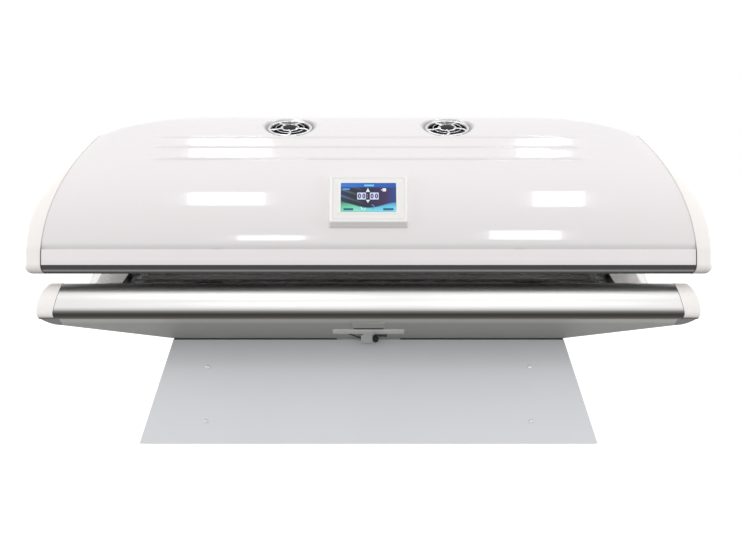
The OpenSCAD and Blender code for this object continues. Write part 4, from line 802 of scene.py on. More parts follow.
def buildHeadTree():  # a domed screw head with a cross slot on every point, facing along its own attribute
    tree, given, result = growTree("screwHeads", {"Radius": 0.005, "Height": 0.002, "Slot": 0.001})
    height, slot = given["Height"], given["Slot"]
    head = put(tree, "GeometryNodeMeshCylinder", {"Vertices": 24, "Side Segments": 5, "Radius": given["Radius"],
                                                  "Depth": height})
    x, y, z = apart(tree, put(tree, "GeometryNodeInputPosition"))
    up = mathNode(tree, "ADD", mathNode(tree, "DIVIDE", z, height), 0.5)
    shrink = mathNode(tree, "SUBTRACT", 1.0, mathNode(tree, "MULTIPLY", mathNode(tree, "POWER", up, 3.0), 0.3))
    domed = together(tree, mathNode(tree, "MULTIPLY", x, shrink), mathNode(tree, "MULTIPLY", y, shrink),
                     mathNode(tree, "ADD", z, mathNode(tree, "MULTIPLY", height, 0.5)))
    dome = put(tree, "GeometryNodeSetPosition", {"Geometry": head, "Position": domed})
    cut = put(tree, "GeometryNodeMeshBoolean", {"Mesh 1": dome}, operation="DIFFERENCE", solver="EXACT")
    long = mathNode(tree, "MULTIPLY", given["Radius"], 1.1)
    for size in ((long, slot, height), (slot, long, height)):
        bar = put(tree, "GeometryNodeMeshCube", {"Size": together(tree, *size)})
        feed(tree, cut, {"Mesh 2": put(tree, "GeometryNodeTransform", {
            "Geometry": bar, "Translation": together(tree, 0.0, 0.0, height)})})
    facing = put(tree, "GeometryNodeInputNamedAttribute", {"Name": "facing"}, data_type="FLOAT_VECTOR")
    turn = put(tree, "FunctionNodeAlignRotationToVector", {"Vector": facing}, axis="Z")
    return endTree(tree, given, result, put(tree, "GeometryNodeInstanceOnPoints", {
        "Points": given["Geometry"], "Instance": cut, "Rotation": turn}))


def buildSpokeTree():  # turns what comes in round the Z axis, Count times
    tree, given, result = growTree("spokesRound", {"Count": 5, "First": 0.0})
    line = put(tree, "GeometryNodeMeshLine", {"Offset": (0, 0, 0), "Count": given["Count"]})
    step = mathNode(tree, "DIVIDE", 2 * math.pi, given["Count"])
    angle = mathNode(tree, "MULTIPLY", put(tree, "GeometryNodeInputIndex").outputs[0], step)
    turn = put(tree, "FunctionNodeEulerToRotation", {0: together(tree, 0.0, 0.0, mathNode(
        tree, "ADD", angle, given["First"]))})
    return endTree(tree, given, result, put(tree, "GeometryNodeInstanceOnPoints", {
        "Points": line, "Instance": given["Geometry"], "Rotation": turn}))


trees = {"tube": buildTubeTree(), "heads": buildHeadTree(), "spokes": buildSpokeTree()}


def grow(piece, key, sharpAngle, finishKey, **values):
    modifier = piece.modifiers.new(key, "NODES")
    modifier.node_group = trees[key]
    values["Finish"] = finishes[finishKey]
    for item in trees[key].interface.items_tree:
        if item.in_out == "INPUT" and item.name in values:
            modifier[item.identifier] = values[item.name]
    return faceOutwards(settle(piece, sharpAngle))


def tubePiece(name, points, radius, finishKey, sides=10):
    wire = wirePiece(name, points, [(k, k + 1) for k in range(len(points) - 1)])
    return grow(wire, "tube", 60, finishKey, Radius=radius, Sides=sides)


def headPiece(name, spots, radius, height, slot):  # spots: (place, facing)
    points = wirePiece(name, [place for place, _ in spots])
    facing = points.data.attributes.new("facing", "FLOAT_VECTOR", "POINT")
    for k, (_, way) in enumerate(spots):
        facing.data[k].vector = Vector(way).normalized()
    return grow(points, "heads", 40, "steelBright", Radius=radius, Height=height, Slot=slot)


def lathePiece(profile, finishKey, place=Matrix(), steps=64, sharpAngle=40, lift=lambda r, a: 0):
    rows = []
    for a in (2 * math.pi * k / steps for k in range(steps)):
        rows.append([(r * math.cos(a), r * math.sin(a), w + lift(r, a)) for r, w in profile])
    piece = faceOutwards(gridPiece("part", rows, finishKey, sharpAngle, closeRows=True, closeColumns=True))
    shadeSoft(piece, sharpAngle).data.transform(place)
    return piece


# the bead in the seam between the shell and its end caps

seams = {"canopyRadius": 0.0014, "baseRadius": 0.0011, "inset": 0.0003}


def seamPoints(side):
    heights = (0.001, 0.003, 0.006, 0.010, 0.015, 0.022, 0.030, 0.040, 0.050, 0.058, 0.064, 0.0695)
    front = [math.atan2(canopy["bandY"], h) for h in heights]
    front += [math.radians(d) for d in (80.2, 79.5, *range(78, 0, -3))]
    points = []
    for angle in front + [0.0] + [-a for a in reversed(front)]:
        x, r = splitAtSeam(angle, 0.0)[0][-1]
        points.append(placeOnRay(side * x, r - seams["inset"], angle))
    return points


for side, name, node in ((-1, "canopySeamLeft", "canopy_left_cap"), (1, "canopySeamRight", "canopy_right_cap")):
    carry(tubePiece(name, seamPoints(side), seams["canopyRadius"], "seamSoft"), "canopy", node, False)
print("seams laid")


# base: the satin front rail and its two end caps

base = {
    "top": 0.459, "foot": 0.367, "faceY": 0.360, "faceZ": 0.385, "faceR": 0.080, "railWall": 0.003, "railLipY": 0.417,
    "webY": 0.374, "ledgeY": 0.3603, "sheetX": 0.7955, "troughZ": 1.377, "troughR": 0.997, "sheetThick": 0.006,
    "seamTop": 0.8630, "seamLean": 0.023, "seamHook": 0.010, "hookHeight": 0.022, "seamGap": 0.0006,
    "noseX": 0.868, "noseLength": 0.062, "noseZ": 0.395, "noseUp": 0.0765, "noseLow": 0.056, "skirtX": 0.8686,
    "scoopX": 0.881, "scoopLow": 0.380, "scoopTilt": math.radians(32.0), "scoopWall": 0.0078, "tip": 0.339,
    "cornerR": 0.006, "innerR": 0.003, "backY": 0.440, "hullTopY": 0.305, "hullSideY": 0.425, "tubZ": 0.285,
    "railGap": 0.0007, "webOutY": 0.377, "slotY": (0.2875, 0.3602), "slotZ": (0.36, 0.47),
}


def baseSeamX(z):
    b = base
    low = max(0.0, 1 - (z - b["foot"]) / b["hookHeight"])
    return b["seamTop"] + b["seamLean"] * (b["top"] - z) / (b["top"] - b["foot"]) - b["seamHook"] * low ** 2


def faceArc(radius, zFrom, zTo, count):
    b = base
    start, end = (math.asin((z - b["faceZ"]) / radius) for z in (zFrom, zTo))
    angles = [start + (end - start) * k / count for k in range(count + 1)]
    return [(-b["faceY"] - radius * math.cos(a), b["faceZ"] + radius * math.sin(a)) for a in angles]


def railProfile():
    b = base
    zTop, zLow = b["top"] - b["railWall"], b["foot"] + b["railWall"]
    outer = faceArc(b["faceR"], b["top"], b["foot"], 40)
    lip = (-b["railLipY"], b["foot"])
    top = roundedCorner((-b["webY"], b["top"]), outer[0], outer[3], 0.002)
    low = roundedCorner(outer[-3], outer[-1], lip, 0.0012)
    ledge = [(-y, b["troughZ"] - math.sqrt((b["troughR"] + b["sheetThick"] + d) ** 2 - y * y))
             for y, d in ((b["webOutY"], 0.0031), (b["ledgeY"], 0.0031), (b["ledgeY"], 0.0001), (b["webY"], 0.0001))]
    return ([(-b["webY"], b["top"])] + top + outer[4:-3] + low + [lip, (-b["railLipY"], zLow)]
            + faceArc(b["faceR"] - b["railWall"], zLow, zTop, 20) + [(-b["webOutY"], zTop)] + ledge)


def buildFrontRail():
    profile = railProfile()
    loops = [[((2 * k / 32 - 1) * (baseSeamX(z) - base["railGap"]), y, z) for y, z in profile] for k in range(33)]
    return shadeSoft(solidPiece(loops, "railSatin", 30, "baseRailFront"), 30)


def noseDepth(z):
    b = base
    span = b["noseUp"] if z > b["noseZ"] else b["noseLow"]
    return b["noseX"] + b["noseLength"] * math.sqrt(max(0.0, 1 - ((z - b["noseZ"]) / span) ** 2))


def frontArcZ(y, sign):
    b = base
    return b["faceZ"] + sign * math.sqrt(max(0.0, b["faceR"] ** 2 - (abs(y) - b["faceY"]) ** 2))


def cornerDrop(into, radius):  # how far a rounded edge falls, so far into its rounding
    return radius - math.sqrt(max(0.0, radius ** 2 - max(0.0, into) ** 2))


def capTop(y):
    b = base
    z = b["top"] - cornerDrop(b["innerR"] - (abs(y) - b["webY"]), b["innerR"])
    if y > 0:
        return z - cornerDrop(b["cornerR"] - (b["backY"] - y), b["cornerR"])
    return min(z, frontArcZ(y, 1)) if -y > b["faceY"] else z


def capLow(y):
    b = base
    slope = b["tubZ"] + (abs(y) - b["hullTopY"]) * (b["foot"] - b["tubZ"]) / (b["hullSideY"] - b["hullTopY"])
    z = min(max(b["tip"], slope), b["foot"])
    return max(z, frontArcZ(y, -1)) if -y > b["faceY"] + 0.05 else z


def roundedNose(y, z, top):
    b = base
    size = b["cornerR"]
    gaps = [top - z]
    if -y > b["faceY"]:
        gaps.append(b["faceR"] - math.hypot(-y - b["faceY"], z - b["faceZ"]))
    if y > 0:
        gaps.append(b["backY"] - y)
    into = min(size, math.sqrt(sum(max(0.0, size - g) ** 2 for g in gaps)))
    return noseDepth(z) - cornerDrop(into, size)


def noseRun(y, high, low, count):
    run = []
    for k in range(count + 1):
        z = high + (low - high) * (1 - math.cos(math.pi * k / count)) / 2
        run.append((roundedNose(y, z, high), z))
    return run


def troughLoop(side, y):
    b = base
    tilt, tip = b["scoopTilt"], b["tip"]
    z = b["troughZ"] - math.sqrt(b["troughR"] ** 2 - y * y)
    h = z - b["scoopLow"]

    def past(up):  # below nought until the scoop's slope meets the nose
        return noseDepth(tip + up) - (b["scoopX"] + (b["scoopLow"] + h / math.cos(tilt) - tip - up) / math.tan(tilt))

    lip = tip + (solveFor(past, 0.0, b["top"] - tip) if past(0.0) < 0 else 0.0)
    turn = b["scoopX"] + math.tan(tilt / 2) * h
    nose = noseRun(y, lip, tip, 22)
    soft = roundedCorner((b["sheetX"], z), (turn, z), nose[0], 0.014, 5)
    low = z - b["scoopWall"]
    loop = [(b["sheetX"], z), ((b["sheetX"] + turn) / 2, z)] + soft
    loop += [tuple(s * (1 - t) + n * t for s, n in zip(soft[-1], nose[0])) for t in (0.33, 0.66)]
    loop += nose + [(b["skirtX"], tip), (b["skirtX"], low), (b["sheetX"], low)]
    return [(side * x, y, zz) for x, zz in loop]


def hornLoop(side, y):
    b = base
    top, low = capTop(y), capLow(y)
    if top - low < 0.0004:
        middle = (top + low) / 2
        top, low = middle + 0.0002, middle - 0.0002
    nose = noseRun(y, top, low, 26)
    start = baseSeamX(top) + b["seamGap"]
    foot = max(low, b["foot"])
    inner = [(max(b["skirtX"], baseSeamX(foot) + 0.001), foot)] * 2
    if low < b["foot"]:
        inner = [(b["skirtX"], low), (b["skirtX"], b["foot"] - 0.0004)]
    rise = [foot + (top - foot) * k / 8 for k in range(8)]
    loop = [(start, top), ((start + nose[0][0]) / 2, top)] + nose + inner
    return [(side * x, y, zz) for x, zz in loop + [(baseSeamX(z) + b["seamGap"], z) for z in rise]]


def buildBaseCap(side):
    b = base
    trough = [-b["webY"] + 2 * b["webY"] * k / 44 for k in range(45)]
    front = [0.374, 0.3745, 0.3755, 0.377, 0.380, 0.384, 0.388, 0.3904]
    front += [b["faceY"] + b["faceR"] * math.cos(math.radians(a)) for a in range(64, 0, -4)] + [0.43985, 0.43997]
    back = [0.374, 0.3745, 0.3755, 0.377, 0.384, 0.395, 0.405, 0.415, 0.425, 0.4285, 0.4305, 0.4325, 0.434, 0.4355,
            0.437, 0.438, 0.4388, 0.4395, 0.4398]
    runs = [[troughLoop(side, y) for y in trough], [hornLoop(side, -y) for y in front],
            [hornLoop(side, y) for y in back]]
    parts = [solidPiece(rows, "baseCapGloss", 35) for rows in runs]
    cutOut(parts[0], [slotTool(side, b["slotY"], b["slotZ"])], 35)
    return shadeSoft(join("baseCapLeft" if side < 0 else "baseCapRight", parts))


def baseSeamLine(side):
    b = base
    points = []
    for z in (b["foot"] + 0.0005 + (b["top"] - b["foot"] - 0.001) * k / 24 for k in range(25)):
        y = -b["faceY"] - math.sqrt((b["faceR"] - seams["baseRadius"]) ** 2 - (z - b["faceZ"]) ** 2)
        points.append((side * baseSeamX(z), y, z))
    return points + [(side * baseSeamX(b["top"]), -b["webY"], b["top"] - 0.0004)]


carry(buildFrontRail(), "base", "base_front_rail")
for side, name, node in ((-1, "baseSeamLeft", "base_left_cap"), (1, "baseSeamRight", "base_right_cap")):
    carry(buildBaseCap(side), "base", node)
    carry(tubePiece(name, baseSeamLine(side), seams["baseRadius"], "seamRubber", 8), "base", node, False)
print("base rail and end caps made")


# at the foot of the tub: hood over the finger pull with a black sheet as painted shade in its hollow, strip, strap,
# seals blackened as painted shadow in the gap, and screw heads

hull = {"stripLong": 0.206, "stripWide": 0.029, "stripUp": 0.0525, "stripThick": 0.0025, "stripR": 0.003,
        "tongueLong": 0.033, "tongueWide": 0.037, "tongueUp": 0.0210, "boltUp": 0.0265, "boltOut": 0.0036,
        "hoodHalf": 0.046, "knobX": 0.0205, "knobZ": 0.287, "knobBack": 0.3225, "flutes": 16, "fluteDeep": 0.0005,
        "sealY": 0.3032, "sealEnd": 0.566, "sealGap": 0.0925, "screwX": 0.466, "screwZ": (0.062, 0.207),
        "footY": 0.423, "pedestalLean": 0.118, "hingeX": 0.560, "hingeY": 0.4075, "hingeTop": 0.4628,
        "pullShadeLong": 0.086, "pullShadeWide": 0.045, "pullShadeUp": 0.0905, "strapR": 0.0016, "strapOut": 0.0026}
headSizes = {  # radius, height, slot
    "strip": (0.0036, 0.0011, 0.0009), "pedestal": (0.0060, 0.0025, 0.0014), "hinge": (0.0042, 0.0020, 0.0010),
}


def onHull():  # X along the tub, Y up its slope, Z out of it
    b = base
    up = Vector((0, -(b["hullSideY"] - b["hullTopY"]), b["foot"] - b["tubZ"])).normalized()
    return Matrix(((1, 0, 0, 0), (0, up.y, -up.z, -b["hullTopY"]), (0, up.z, up.y, b["tubZ"]), (0, 0, 0, 1)))


def buildHood():
    opened = [(0.1210, -0.0004), (0.1210, 0.0014), (0.1180, 0.0024), (0.1050, 0.0050), (0.0955, 0.0070),
              (0.0935, 0.0074), (0.0926, 0.0071), (0.0927, 0.0064), (0.0940, 0.0058), (0.1040, 0.0032),
              (0.1120, 0.0012), (0.1140, -0.0004)]
    shut = opened[:6] + [(0.0924, 0.0068), (0.0915, 0.0060), (0.0880, 0.0036), (0.0830, -0.0004), (0.0960, -0.0004),
                         (0.1140, -0.0004)]
    h = hull
    half = h["hoodHalf"]
    stations = [(half, 0.45, shut), (half - 0.0006, 0.8, shut), (half - 0.0016, 1.0, shut), (half - 0.0030, 1.0, shut),
                (half - 0.0032, 1.0, opened), (half * 0.5, 1.0, opened)]
    stations += [(-x, rise, section) for x, rise, section in reversed(stations)]
    hood = solidPiece([[(x, s, n * rise) for s, n in section] for x, rise, section in stations], "hullPaint")
    # a black sheet in the pull's hollow, standing in for the shade inside it
    pullShadeSheet = solidPiece([roundedRing(h["pullShadeLong"] - d, h["pullShadeWide"] - d, 0.003, h["pullShadeUp"], n)
                         for d, n in ((0, -0.0005), (0, 0.0003), (0.0008, 0.0006))], "blackMoulded")
    return join("pullHood", [hood, pullShadeSheet], onHull())


def stripPlate(long, wide, up, lift=0.0):
    thick = hull["stripThick"]
    edge = ((0.0, 0.0), (0.0, thick - 0.0007), (0.0005, thick - 0.0001), (0.0012, thick))
    return solidPiece([roundedRing(long - 2 * d, wide - 2 * d, hull["stripR"], up, n + lift) for d, n in edge],
                      "stripAlloy")


def buildStrip():
    h = hull
    plate = stripPlate(h["stripLong"], h["stripWide"], h["stripUp"])
    tongue = stripPlate(h["tongueLong"], h["tongueWide"], h["tongueUp"], 0.0001)
    spots = [((x, h["stripUp"], h["stripThick"] - 0.0002), (0, 0, 1)) for x in (-0.094, -0.060, 0.060, 0.094)]
    return join("latchStripPlate", [plate, tongue, headPiece("part", spots, *headSizes["strip"])], onHull())


def buildStrap():
    h = hull
    way = [(-0.0560, 0.0400), (-0.0500, 0.0330), (-0.0430, 0.0270), (-0.0360, 0.0200), (-0.0300, 0.0140),
           (-0.0225, 0.0100)]
    parts = [tubePiece("part", [(x, s, h["strapOut"]) for x, s in alongLine(way, 14)], h["strapR"], "blackMoulded")]
    for radius, stations in ((0.0027, (0.0130, 0.0250, 0.0400, 0.0500)), (0.0034, (0.0485, 0.0498, 0.0520, 0.0528))):
        line = [(x, h["boltUp"], h["boltOut"]) for x in stations]
        parts.append(tubePiece("part", line, radius, "blackMoulded", 14))
    return join("latchStrap", parts, onHull())


def buildKnob():
    h = hull
    profile = [(0.0001, 0.0), (0.0074, 0.0), (0.0084, 0.0004), (0.0090, 0.0014), (0.0090, 0.0092), (0.0086, 0.0106),
               (0.0074, 0.0117), (0.0062, 0.0120), (0.0060, 0.0113), (0.0001, 0.0112)]
    rows = []
    for a in (2 * math.pi * k / 96 for k in range(96)):
        flute = h["fluteDeep"] * max(0.0, math.cos(h["flutes"] * a))
        turned = [(r - flute if r > 0.0083 else r, w) for r, w in profile]
        rows.append([(r * math.cos(a), r * math.sin(a), w) for r, w in turned])
    body = faceOutwards(gridPiece("part", rows, "hubBlack", 40, closeRows=True))
    grip = solidPiece([roundedRing(0.0040 - d, 0.0172 - d, 0.0012, 0, w)
                       for d, w in ((0, 0.0105), (0, 0.0138), (0.0006, 0.0146), (0.0016, 0.0149))], "hubBlack")
    stem = lathePiece([(0.0001, -0.0079), (0.0026, -0.0079), (0.0030, -0.0075), (0.0030, 0.0004), (0.0001, 0.0004)],
                      "steelBright", steps=24)
    return join("latchKnobFluted", [body, grip, stem],
                Matrix.Translation((h["knobX"], -h["knobBack"], h["knobZ"])) @ Matrix.Rotation(math.pi / 2, 4, "X"))


def sealBar(low, high, finishKey, side=1):
    section = [(-0.0028, 0.28125), (-0.0030, 0.2816), (-0.0030, 0.2846), (-0.0028, 0.28495), (0.0026, 0.28495),
               (0.0026, 0.28125)]
    return solidPiece([[(low + (high - low) * k / 12, side * (dy - hull["sealY"]), z) for dy, z in section]
                       for k in range(13)], finishKey)


# rubber seals in the gap under the tub, black to stand in for that gap's shadow line; the short bars by the latch are
# tub grey
def buildShadowSeals():
    end, gap = hull["sealEnd"], hull["sealGap"]
    return join("tubShadowSeals", [sealBar(-end, -gap, "padRubber"), sealBar(gap, end, "padRubber"),
                             sealBar(-gap + 0.0005, -0.0235, "hullPaint"), sealBar(0.0290, gap - 0.0005, "hullPaint"),
                             sealBar(-end, end, "padRubber", -1)])


def buildPedestalHeads():
    h, high = hull, base["tubZ"]
    spots = [((x, side * (h["footY"] - h["pedestalLean"] * z / high), z), (0, side * high, h["pedestalLean"]))
             for x in (-h["screwX"], h["screwX"]) for z in h["screwZ"] for side in (-1, 1)]
    return headPiece("pedestalHeads", spots, *headSizes["pedestal"])


def buildHingeHeads():
    spots = [((side * hull["hingeX"] + dx, hull["hingeY"], hull["hingeTop"]), (0, 0, 1))
             for side in (-1, 1) for dx in (-0.034, 0, 0.034)]
    return headPiece("hingeHeads", spots, *headSizes["hinge"])


carry(buildHood(), "base", "front_panel_pull")
carry(buildStrip(), "base", "latch_strip")
carry(buildStrap(), "base", "latch_block", False)
carry(buildKnob(), "latch_knob", "latch_knob")
carry(buildShadowSeals(), "base", "pedestal_frame", False)
carry(buildPedestalHeads(), "base", "pedestal_screws")
carry(buildHingeHeads(), "base", "hinge_brackets", False)
print("latch, seals and screw heads made")


# control panel: raised frame, lit picture and its marks

panel = {"width": 0.221, "height": 0.155, "proud": 0.008, "skirt": 0.0068, "glassUp": 0.009,
         "pictureWidth": 0.1539, "pictureHeight": 0.0869, "grooveDeep": 0.0012, "pictureOut": 0.00012,
         "markThick": 0.0001, "markLift": 0.00028}
tall = panel["pictureHeight"] / panel["pictureWidth"]


def bezelRing(side, foot, head, w, radius=0.006):  # inset from the frame's outer edge
    p = panel
    return roundedRing(p["width"] - 2 * side, p["height"] - foot - head, radius, (foot - head) / 2, w)


def buildBezel():
    p = panel
    proud, groove = p["proud"], p["proud"] - p["grooveDeep"]
    rings = [bezelRing(0, 0, 0, -p["skirt"]), bezelRing(0, 0, 0, -0.0050), bezelRing(0.0006, 0.0010, 0.0004, -0.0036)]
    for t in (0.33, 0.66, 1.0):   # the sides lean in, most at the foot
        rings.append(bezelRing(0.0006 + 0.0022 * t, 0.0010 + 0.0112 * t, 0.0004 + 0.0012 * t, -0.0036 + 0.0108 * t))
    for side, foot, head, w in ((0.0033, 0.0128, 0.0021, 0.0078), (0.0042, 0.0138, 0.0030, proud),
                                (0.0095, 0.0195, 0.0085, proud), (0.0098, 0.0198, 0.0088, groove),
                                (0.0118, 0.0218, 0.0108, groove), (0.0122, 0.0222, 0.0112, proud)):
        rings.append(bezelRing(side, foot, head, w, 0.005))
    for wider, w in ((0.0170, 0.0), (0.0150, 0.0006), (0.0030, 0.0007), (0.0016, 0.0005), (0.0012, 0.0001)):
        rings.append(roundedRing(p["pictureWidth"] + wider, p["pictureHeight"] + wider, 0.002 + wider / 3,
                                 p["glassUp"], proud + w))
    bezel = faceToward(faceOutwards(gridPiece("displayBezel", rings, "bezelWhite", 30, closeColumns=True)), (0, 0, 1))
    bezel.data.transform(onBarrel(0, openings["panelTilt"]))
    return shadeSoft(bezel, 30)


def glowFinish(name, colour):
    material = finish(name, (8, 8, 10), None, 0.1, 0.05, grain=(60, 0.01))
    tree = material.node_tree
    colour = light(*colour)
    tint = placeGroup(tree, "tint", Colour=colour, Other=tuple(c * 0.88 for c in colour[:3]) + (1.0,), Scale=220.0)
    feed(tree, tree.nodes["Principled BSDF"], {"Emission Color": tint["Colour"], "Emission Strength": 1.0})
    return material


def pictureFinish():  # a plain timer page: header, dark middle, two waves at the foot
    material = finish("timerPicture", (6, 7, 12), None, 0.08, 0.04, grain=(60, 0.01))
    tree = material.node_tree

    def times(a, b, clamp=False):
        return mathNode(tree, "MULTIPLY", a, b, clamp)

    def colours(value, *stops):
        return ramp(tree, value, [(place, light(*colour)) for place, colour in stops])

    across, up, _ = apart(tree, put(tree, "ShaderNodeUVMap", uv_map="page"))
    middle = colours(across, (0.0, (30, 52, 92)), (0.2, (30, 34, 52)), (0.5, (28, 30, 58)), (0.8, (58, 40, 84)),
                     (1.0, (40, 68, 140)))
    wave = mathNode(tree, "SINE", mathNode(tree, "ADD", times(across, 9.0), times(up, 14.0)))
    streak = mathNode(tree, "POWER", mathNode(tree, "ABSOLUTE", wave), 9.0)
    fade = spread(tree, across, 0.0, 0.45, 0.5, 0.0)
    middle = mixColour(tree, times(streak, fade, True), middle, light(120, 150, 150))
    wave = times(mathNode(tree, "COSINE", times(across, 6.2)), 0.09)
    level = mathNode(tree, "ADD", mathNode(tree, "SUBTRACT", 0.235, up), wave)
    foot = colours(across, (0.0, (96, 190, 96)), (0.25, (120, 214, 150)), (0.5, (84, 190, 200)),
                   (0.75, (80, 180, 236)), (1.0, (110, 200, 250)))
    deeper = colours(up, (0.0, (170, 244, 240)), (0.12, (120, 220, 226)), (0.3, (30, 120, 120)))
    page = mixColour(tree, spread(tree, level, -0.01, 0.03, 0.0, 1.0), middle, mixColour(tree, 0.45, foot, deeper))
    header = colours(across, (0.0, (48, 120, 216)), (0.5, (30, 96, 190)), (1.0, (28, 88, 176)))
    page = mixColour(tree, spread(tree, up, 0.83, 0.88, 0.0, 1.0), page, header)
    feed(tree, tree.nodes["Principled BSDF"], {"Emission Color": page, "Emission Strength": 1.0})
    return material


finishes["timerPicture"] = pictureFinish()
for key, colour in (("markWhite", (236, 240, 250)), ("markPale", (214, 218, 246)), ("digitBlue", (22, 32, 104)),
                    ("markBlue", (96, 160, 236)), ("markCyan", (110, 214, 240)), ("markTeal", (20, 104, 130))):
    finishes[key] = glowFinish(key, colour)


def onPicture(u, v, w):  # u from left, v from the top, both 0 to 1
    p = panel
    return ((u - 0.5) * p["pictureWidth"], p["glassUp"] + (0.5 - v) * p["pictureHeight"], p["proud"] + w)


def buildPicture():
    rows = [[onPicture(u / 16, 1 - v / 10, panel["pictureOut"]) for u in range(17)] for v in range(11)]
    piece = gridPiece("timerPage", rows, "timerPicture", 30)
    page = piece.data.uv_layers.new(name="page")
    for loop in piece.data.loops:
        v, u = divmod(loop.vertex_index, 17)
        page.data[loop.index].uv = (u / 16, v / 10)
    piece.data.transform(onBarrel(0, openings["panelTilt"]))
    return thicken(piece, panel["markThick"])


def flatMark(outline, finishKey):  # a thin raised mark from a closed outline in picture fractions
    n, high = len(outline), panel["markLift"]
    points = [onPicture(u, v, w) for w in (high - panel["markThick"], high) for u, v in outline]
    faces = [tuple(range(n, 2 * n)), tuple(reversed(range(n)))]
    faces += [(k, (k + 1) % n, n + (k + 1) % n, n + k) for k in range(n)]
    return faceOutwards(meshPiece("mark", points, faces, finishKey))


def pill(u0, v0, u1, v1, radius):
    outline = []
    for k, (cu, cv) in enumerate(((u1, v1), (u0, v1), (u0, v0), (u1, v0))):
        mu = cu - radius * (1 if cu == u1 else -1)
        mv = cv - radius / tall * (1 if cv == v1 else -1)
        for a in (math.radians(90 * k + 18 * n) for n in range(6)):
            outline.append((mu + radius * math.cos(a), mv + radius / tall * math.sin(a)))
    return outline


def zeroMark(u, v, wide, high, line):
    top = panel["markLift"] + panel["markThick"]
    rings = []
    for inset, w in ((0, top - panel["markThick"]), (0, top), (line, top), (line, top - panel["markThick"])):
        turns = [2 * math.pi * k / 20 for k in range(20)]
        rings.append([onPicture(u + (wide / 2 - inset) * math.cos(a), v + (high / 2 - inset / tall) * math.sin(a), w)
                      for a in turns])
    return faceOutwards(gridPiece("mark", rings, "digitBlue", 30, closeRows=True, closeColumns=True))


def arcMark(u, v, radius, start, end, line, finishKey):
    def arc(r, turns):
        return [(u + r * math.cos(math.radians(a)), v + r / tall * math.sin(math.radians(a))) for a in turns]
    return flatMark(arc(radius, range(start, end + 1, 12)) + arc(radius - line, range(end, start - 1, -12)), finishKey)


def buildMarks():
    parts = [flatMark(outline, key) for outline, key in (
        (pill(0.295, 0.33, 0.455, 0.575, 0.012), "markPale"), (pill(0.525, 0.33, 0.685, 0.575, 0.012), "markPale"),
        ([(0.4525, 0.31), (0.5275, 0.31), (0.49, 0.17)], "markWhite"),
        ([(0.4525, 0.585), (0.5275, 0.585), (0.49, 0.69)], "markWhite"),
        (pill(0.42, 0.05, 0.60, 0.11, 0.012), "markCyan"), (pill(0.03, 0.185, 0.16, 0.235, 0.010), "markBlue"),
        (pill(0.755, 0.18, 0.82, 0.29, 0.008), "markWhite"), (pill(0.728, 0.215, 0.742, 0.255, 0.004), "markWhite"),
        (pill(0.045, 0.875, 0.225, 0.955, 0.016), "markTeal"), (pill(0.765, 0.875, 0.955, 0.955, 0.016), "markTeal"),
        (pill(0.478, 0.40, 0.488, 0.43, 0.003), "markPale"), (pill(0.478, 0.48, 0.488, 0.51, 0.003), "markPale"))]
    parts += [zeroMark(u, 0.452, 0.056, 0.175, 0.020) for u in (0.335, 0.415, 0.565, 0.645)]
    parts.append(arcMark(0.41, 0.84, 0.050, 24, 192, 0.013, "markWhite"))
    parts.append(arcMark(0.56, 0.84, 0.050, -96, 72, 0.013, "markBlue"))
    return join("timerMarks", parts, onBarrel(0, openings["panelTilt"]))


carry(buildBezel(), "canopy", "display_frame")
carry(buildPicture(), "canopy", "display_glass", False)
carry(buildMarks(), "canopy", "display_glass", False)
print("control panel made")


# the two round outlets with their dish, ring, spokes and hub

outlet = {"lipR": 0.0800, "flatR": 0.066, "ringR": 0.0625, "ringTube": 0.0042, "ringW": -0.0095,
          "innerRingR": 0.0420, "innerRingTube": 0.0011, "innerRingW": -0.0080,
          "spokes": 5, "firstSpoke": math.radians(54), "spokeStart": 0.018, "spokeWide": 0.0042, "spokeThick": 0.0022,
          "hubR": 0.0220, "hubRingR": 0.0255, "hubTube": 0.0026, "hubTop": -0.0035, "hubFoot": -0.0138,
          "hubDome": 0.0035, "domeHigh": 0.0057, "domeTop": 0.0022,
          "shadeFrom": 0.0650, "shadeWide": 0.0145, "throatMetal": 0.85}


def dishLift(r, a):  # the lip follows the barrel, which falls below the outlet's flat plane
    o, v = outlet, r * math.sin(a)
    drop = canopy["barrelR"] - math.sqrt(canopy["barrelR"] ** 2 - v * v)
    return -drop * eased((r - o["flatR"]) / (o["lipR"] - o["flatR"]))


def dishFinish():  # grey metal at the throat, painted darker there as shade in the recess, fading to the canopy's white at the lip
    material = finish("dishSatin", (150, 147, 148), (124, 121, 122), 0.24, 0.08, grain=(400, 0.03), tint=20.0)
    tree = material.node_tree
    shader = tree.nodes["Principled BSDF"]
    own = shader.inputs["Base Color"].links[0].from_socket
    outward = put(tree, "ShaderNodeAttribute", attribute_name="outward")
    fade = mathNode(tree, "POWER", outward.outputs["Fac"], 1.6)
    feed(tree, shader, {"Base Color": mixColour(tree, fade, own, light(240, 236, 237)),
                        "Metallic": spread(tree, fade, 0.0, 1.0, outlet["throatMetal"], 0.0)})
    return material


finishes["dishSatin"] = dishFinish()


def buildDish(side):
    o = outlet
    profile = [(0.0905, -0.0036), (0.0800, -0.0036), (0.0800, -0.0002), (0.0797, 0.0004), (0.0790, 0.0005),
               (0.0782, 0.0000), (0.0765, -0.0016), (0.0740, -0.0042), (0.0712, -0.0068), (0.0685, -0.0086),
               (0.0660, -0.0094), (0.0575, -0.0096), (0.0565, -0.0104), (0.0562, -0.0160), (0.0580, -0.0162),
               (0.0600, -0.0125), (0.0680, -0.0118), (0.0730, -0.0100), (0.0770, -0.0070), (0.0905, -0.0060)]
    dish = lathePiece(profile, "dishSatin", steps=72, lift=dishLift)
    # outward: 0 at the throat to 1 at the lip, for the dish's painted shade
    outward = dish.data.attributes.new("outward", "FLOAT", "POINT")
    for v in dish.data.vertices:
        outward.data[v.index].value = min(1.0, max(0.0, (math.hypot(v.co.x, v.co.y) - o["shadeFrom"]) / o["shadeWide"]))
    dish.data.transform(onFan(side))
    return dish


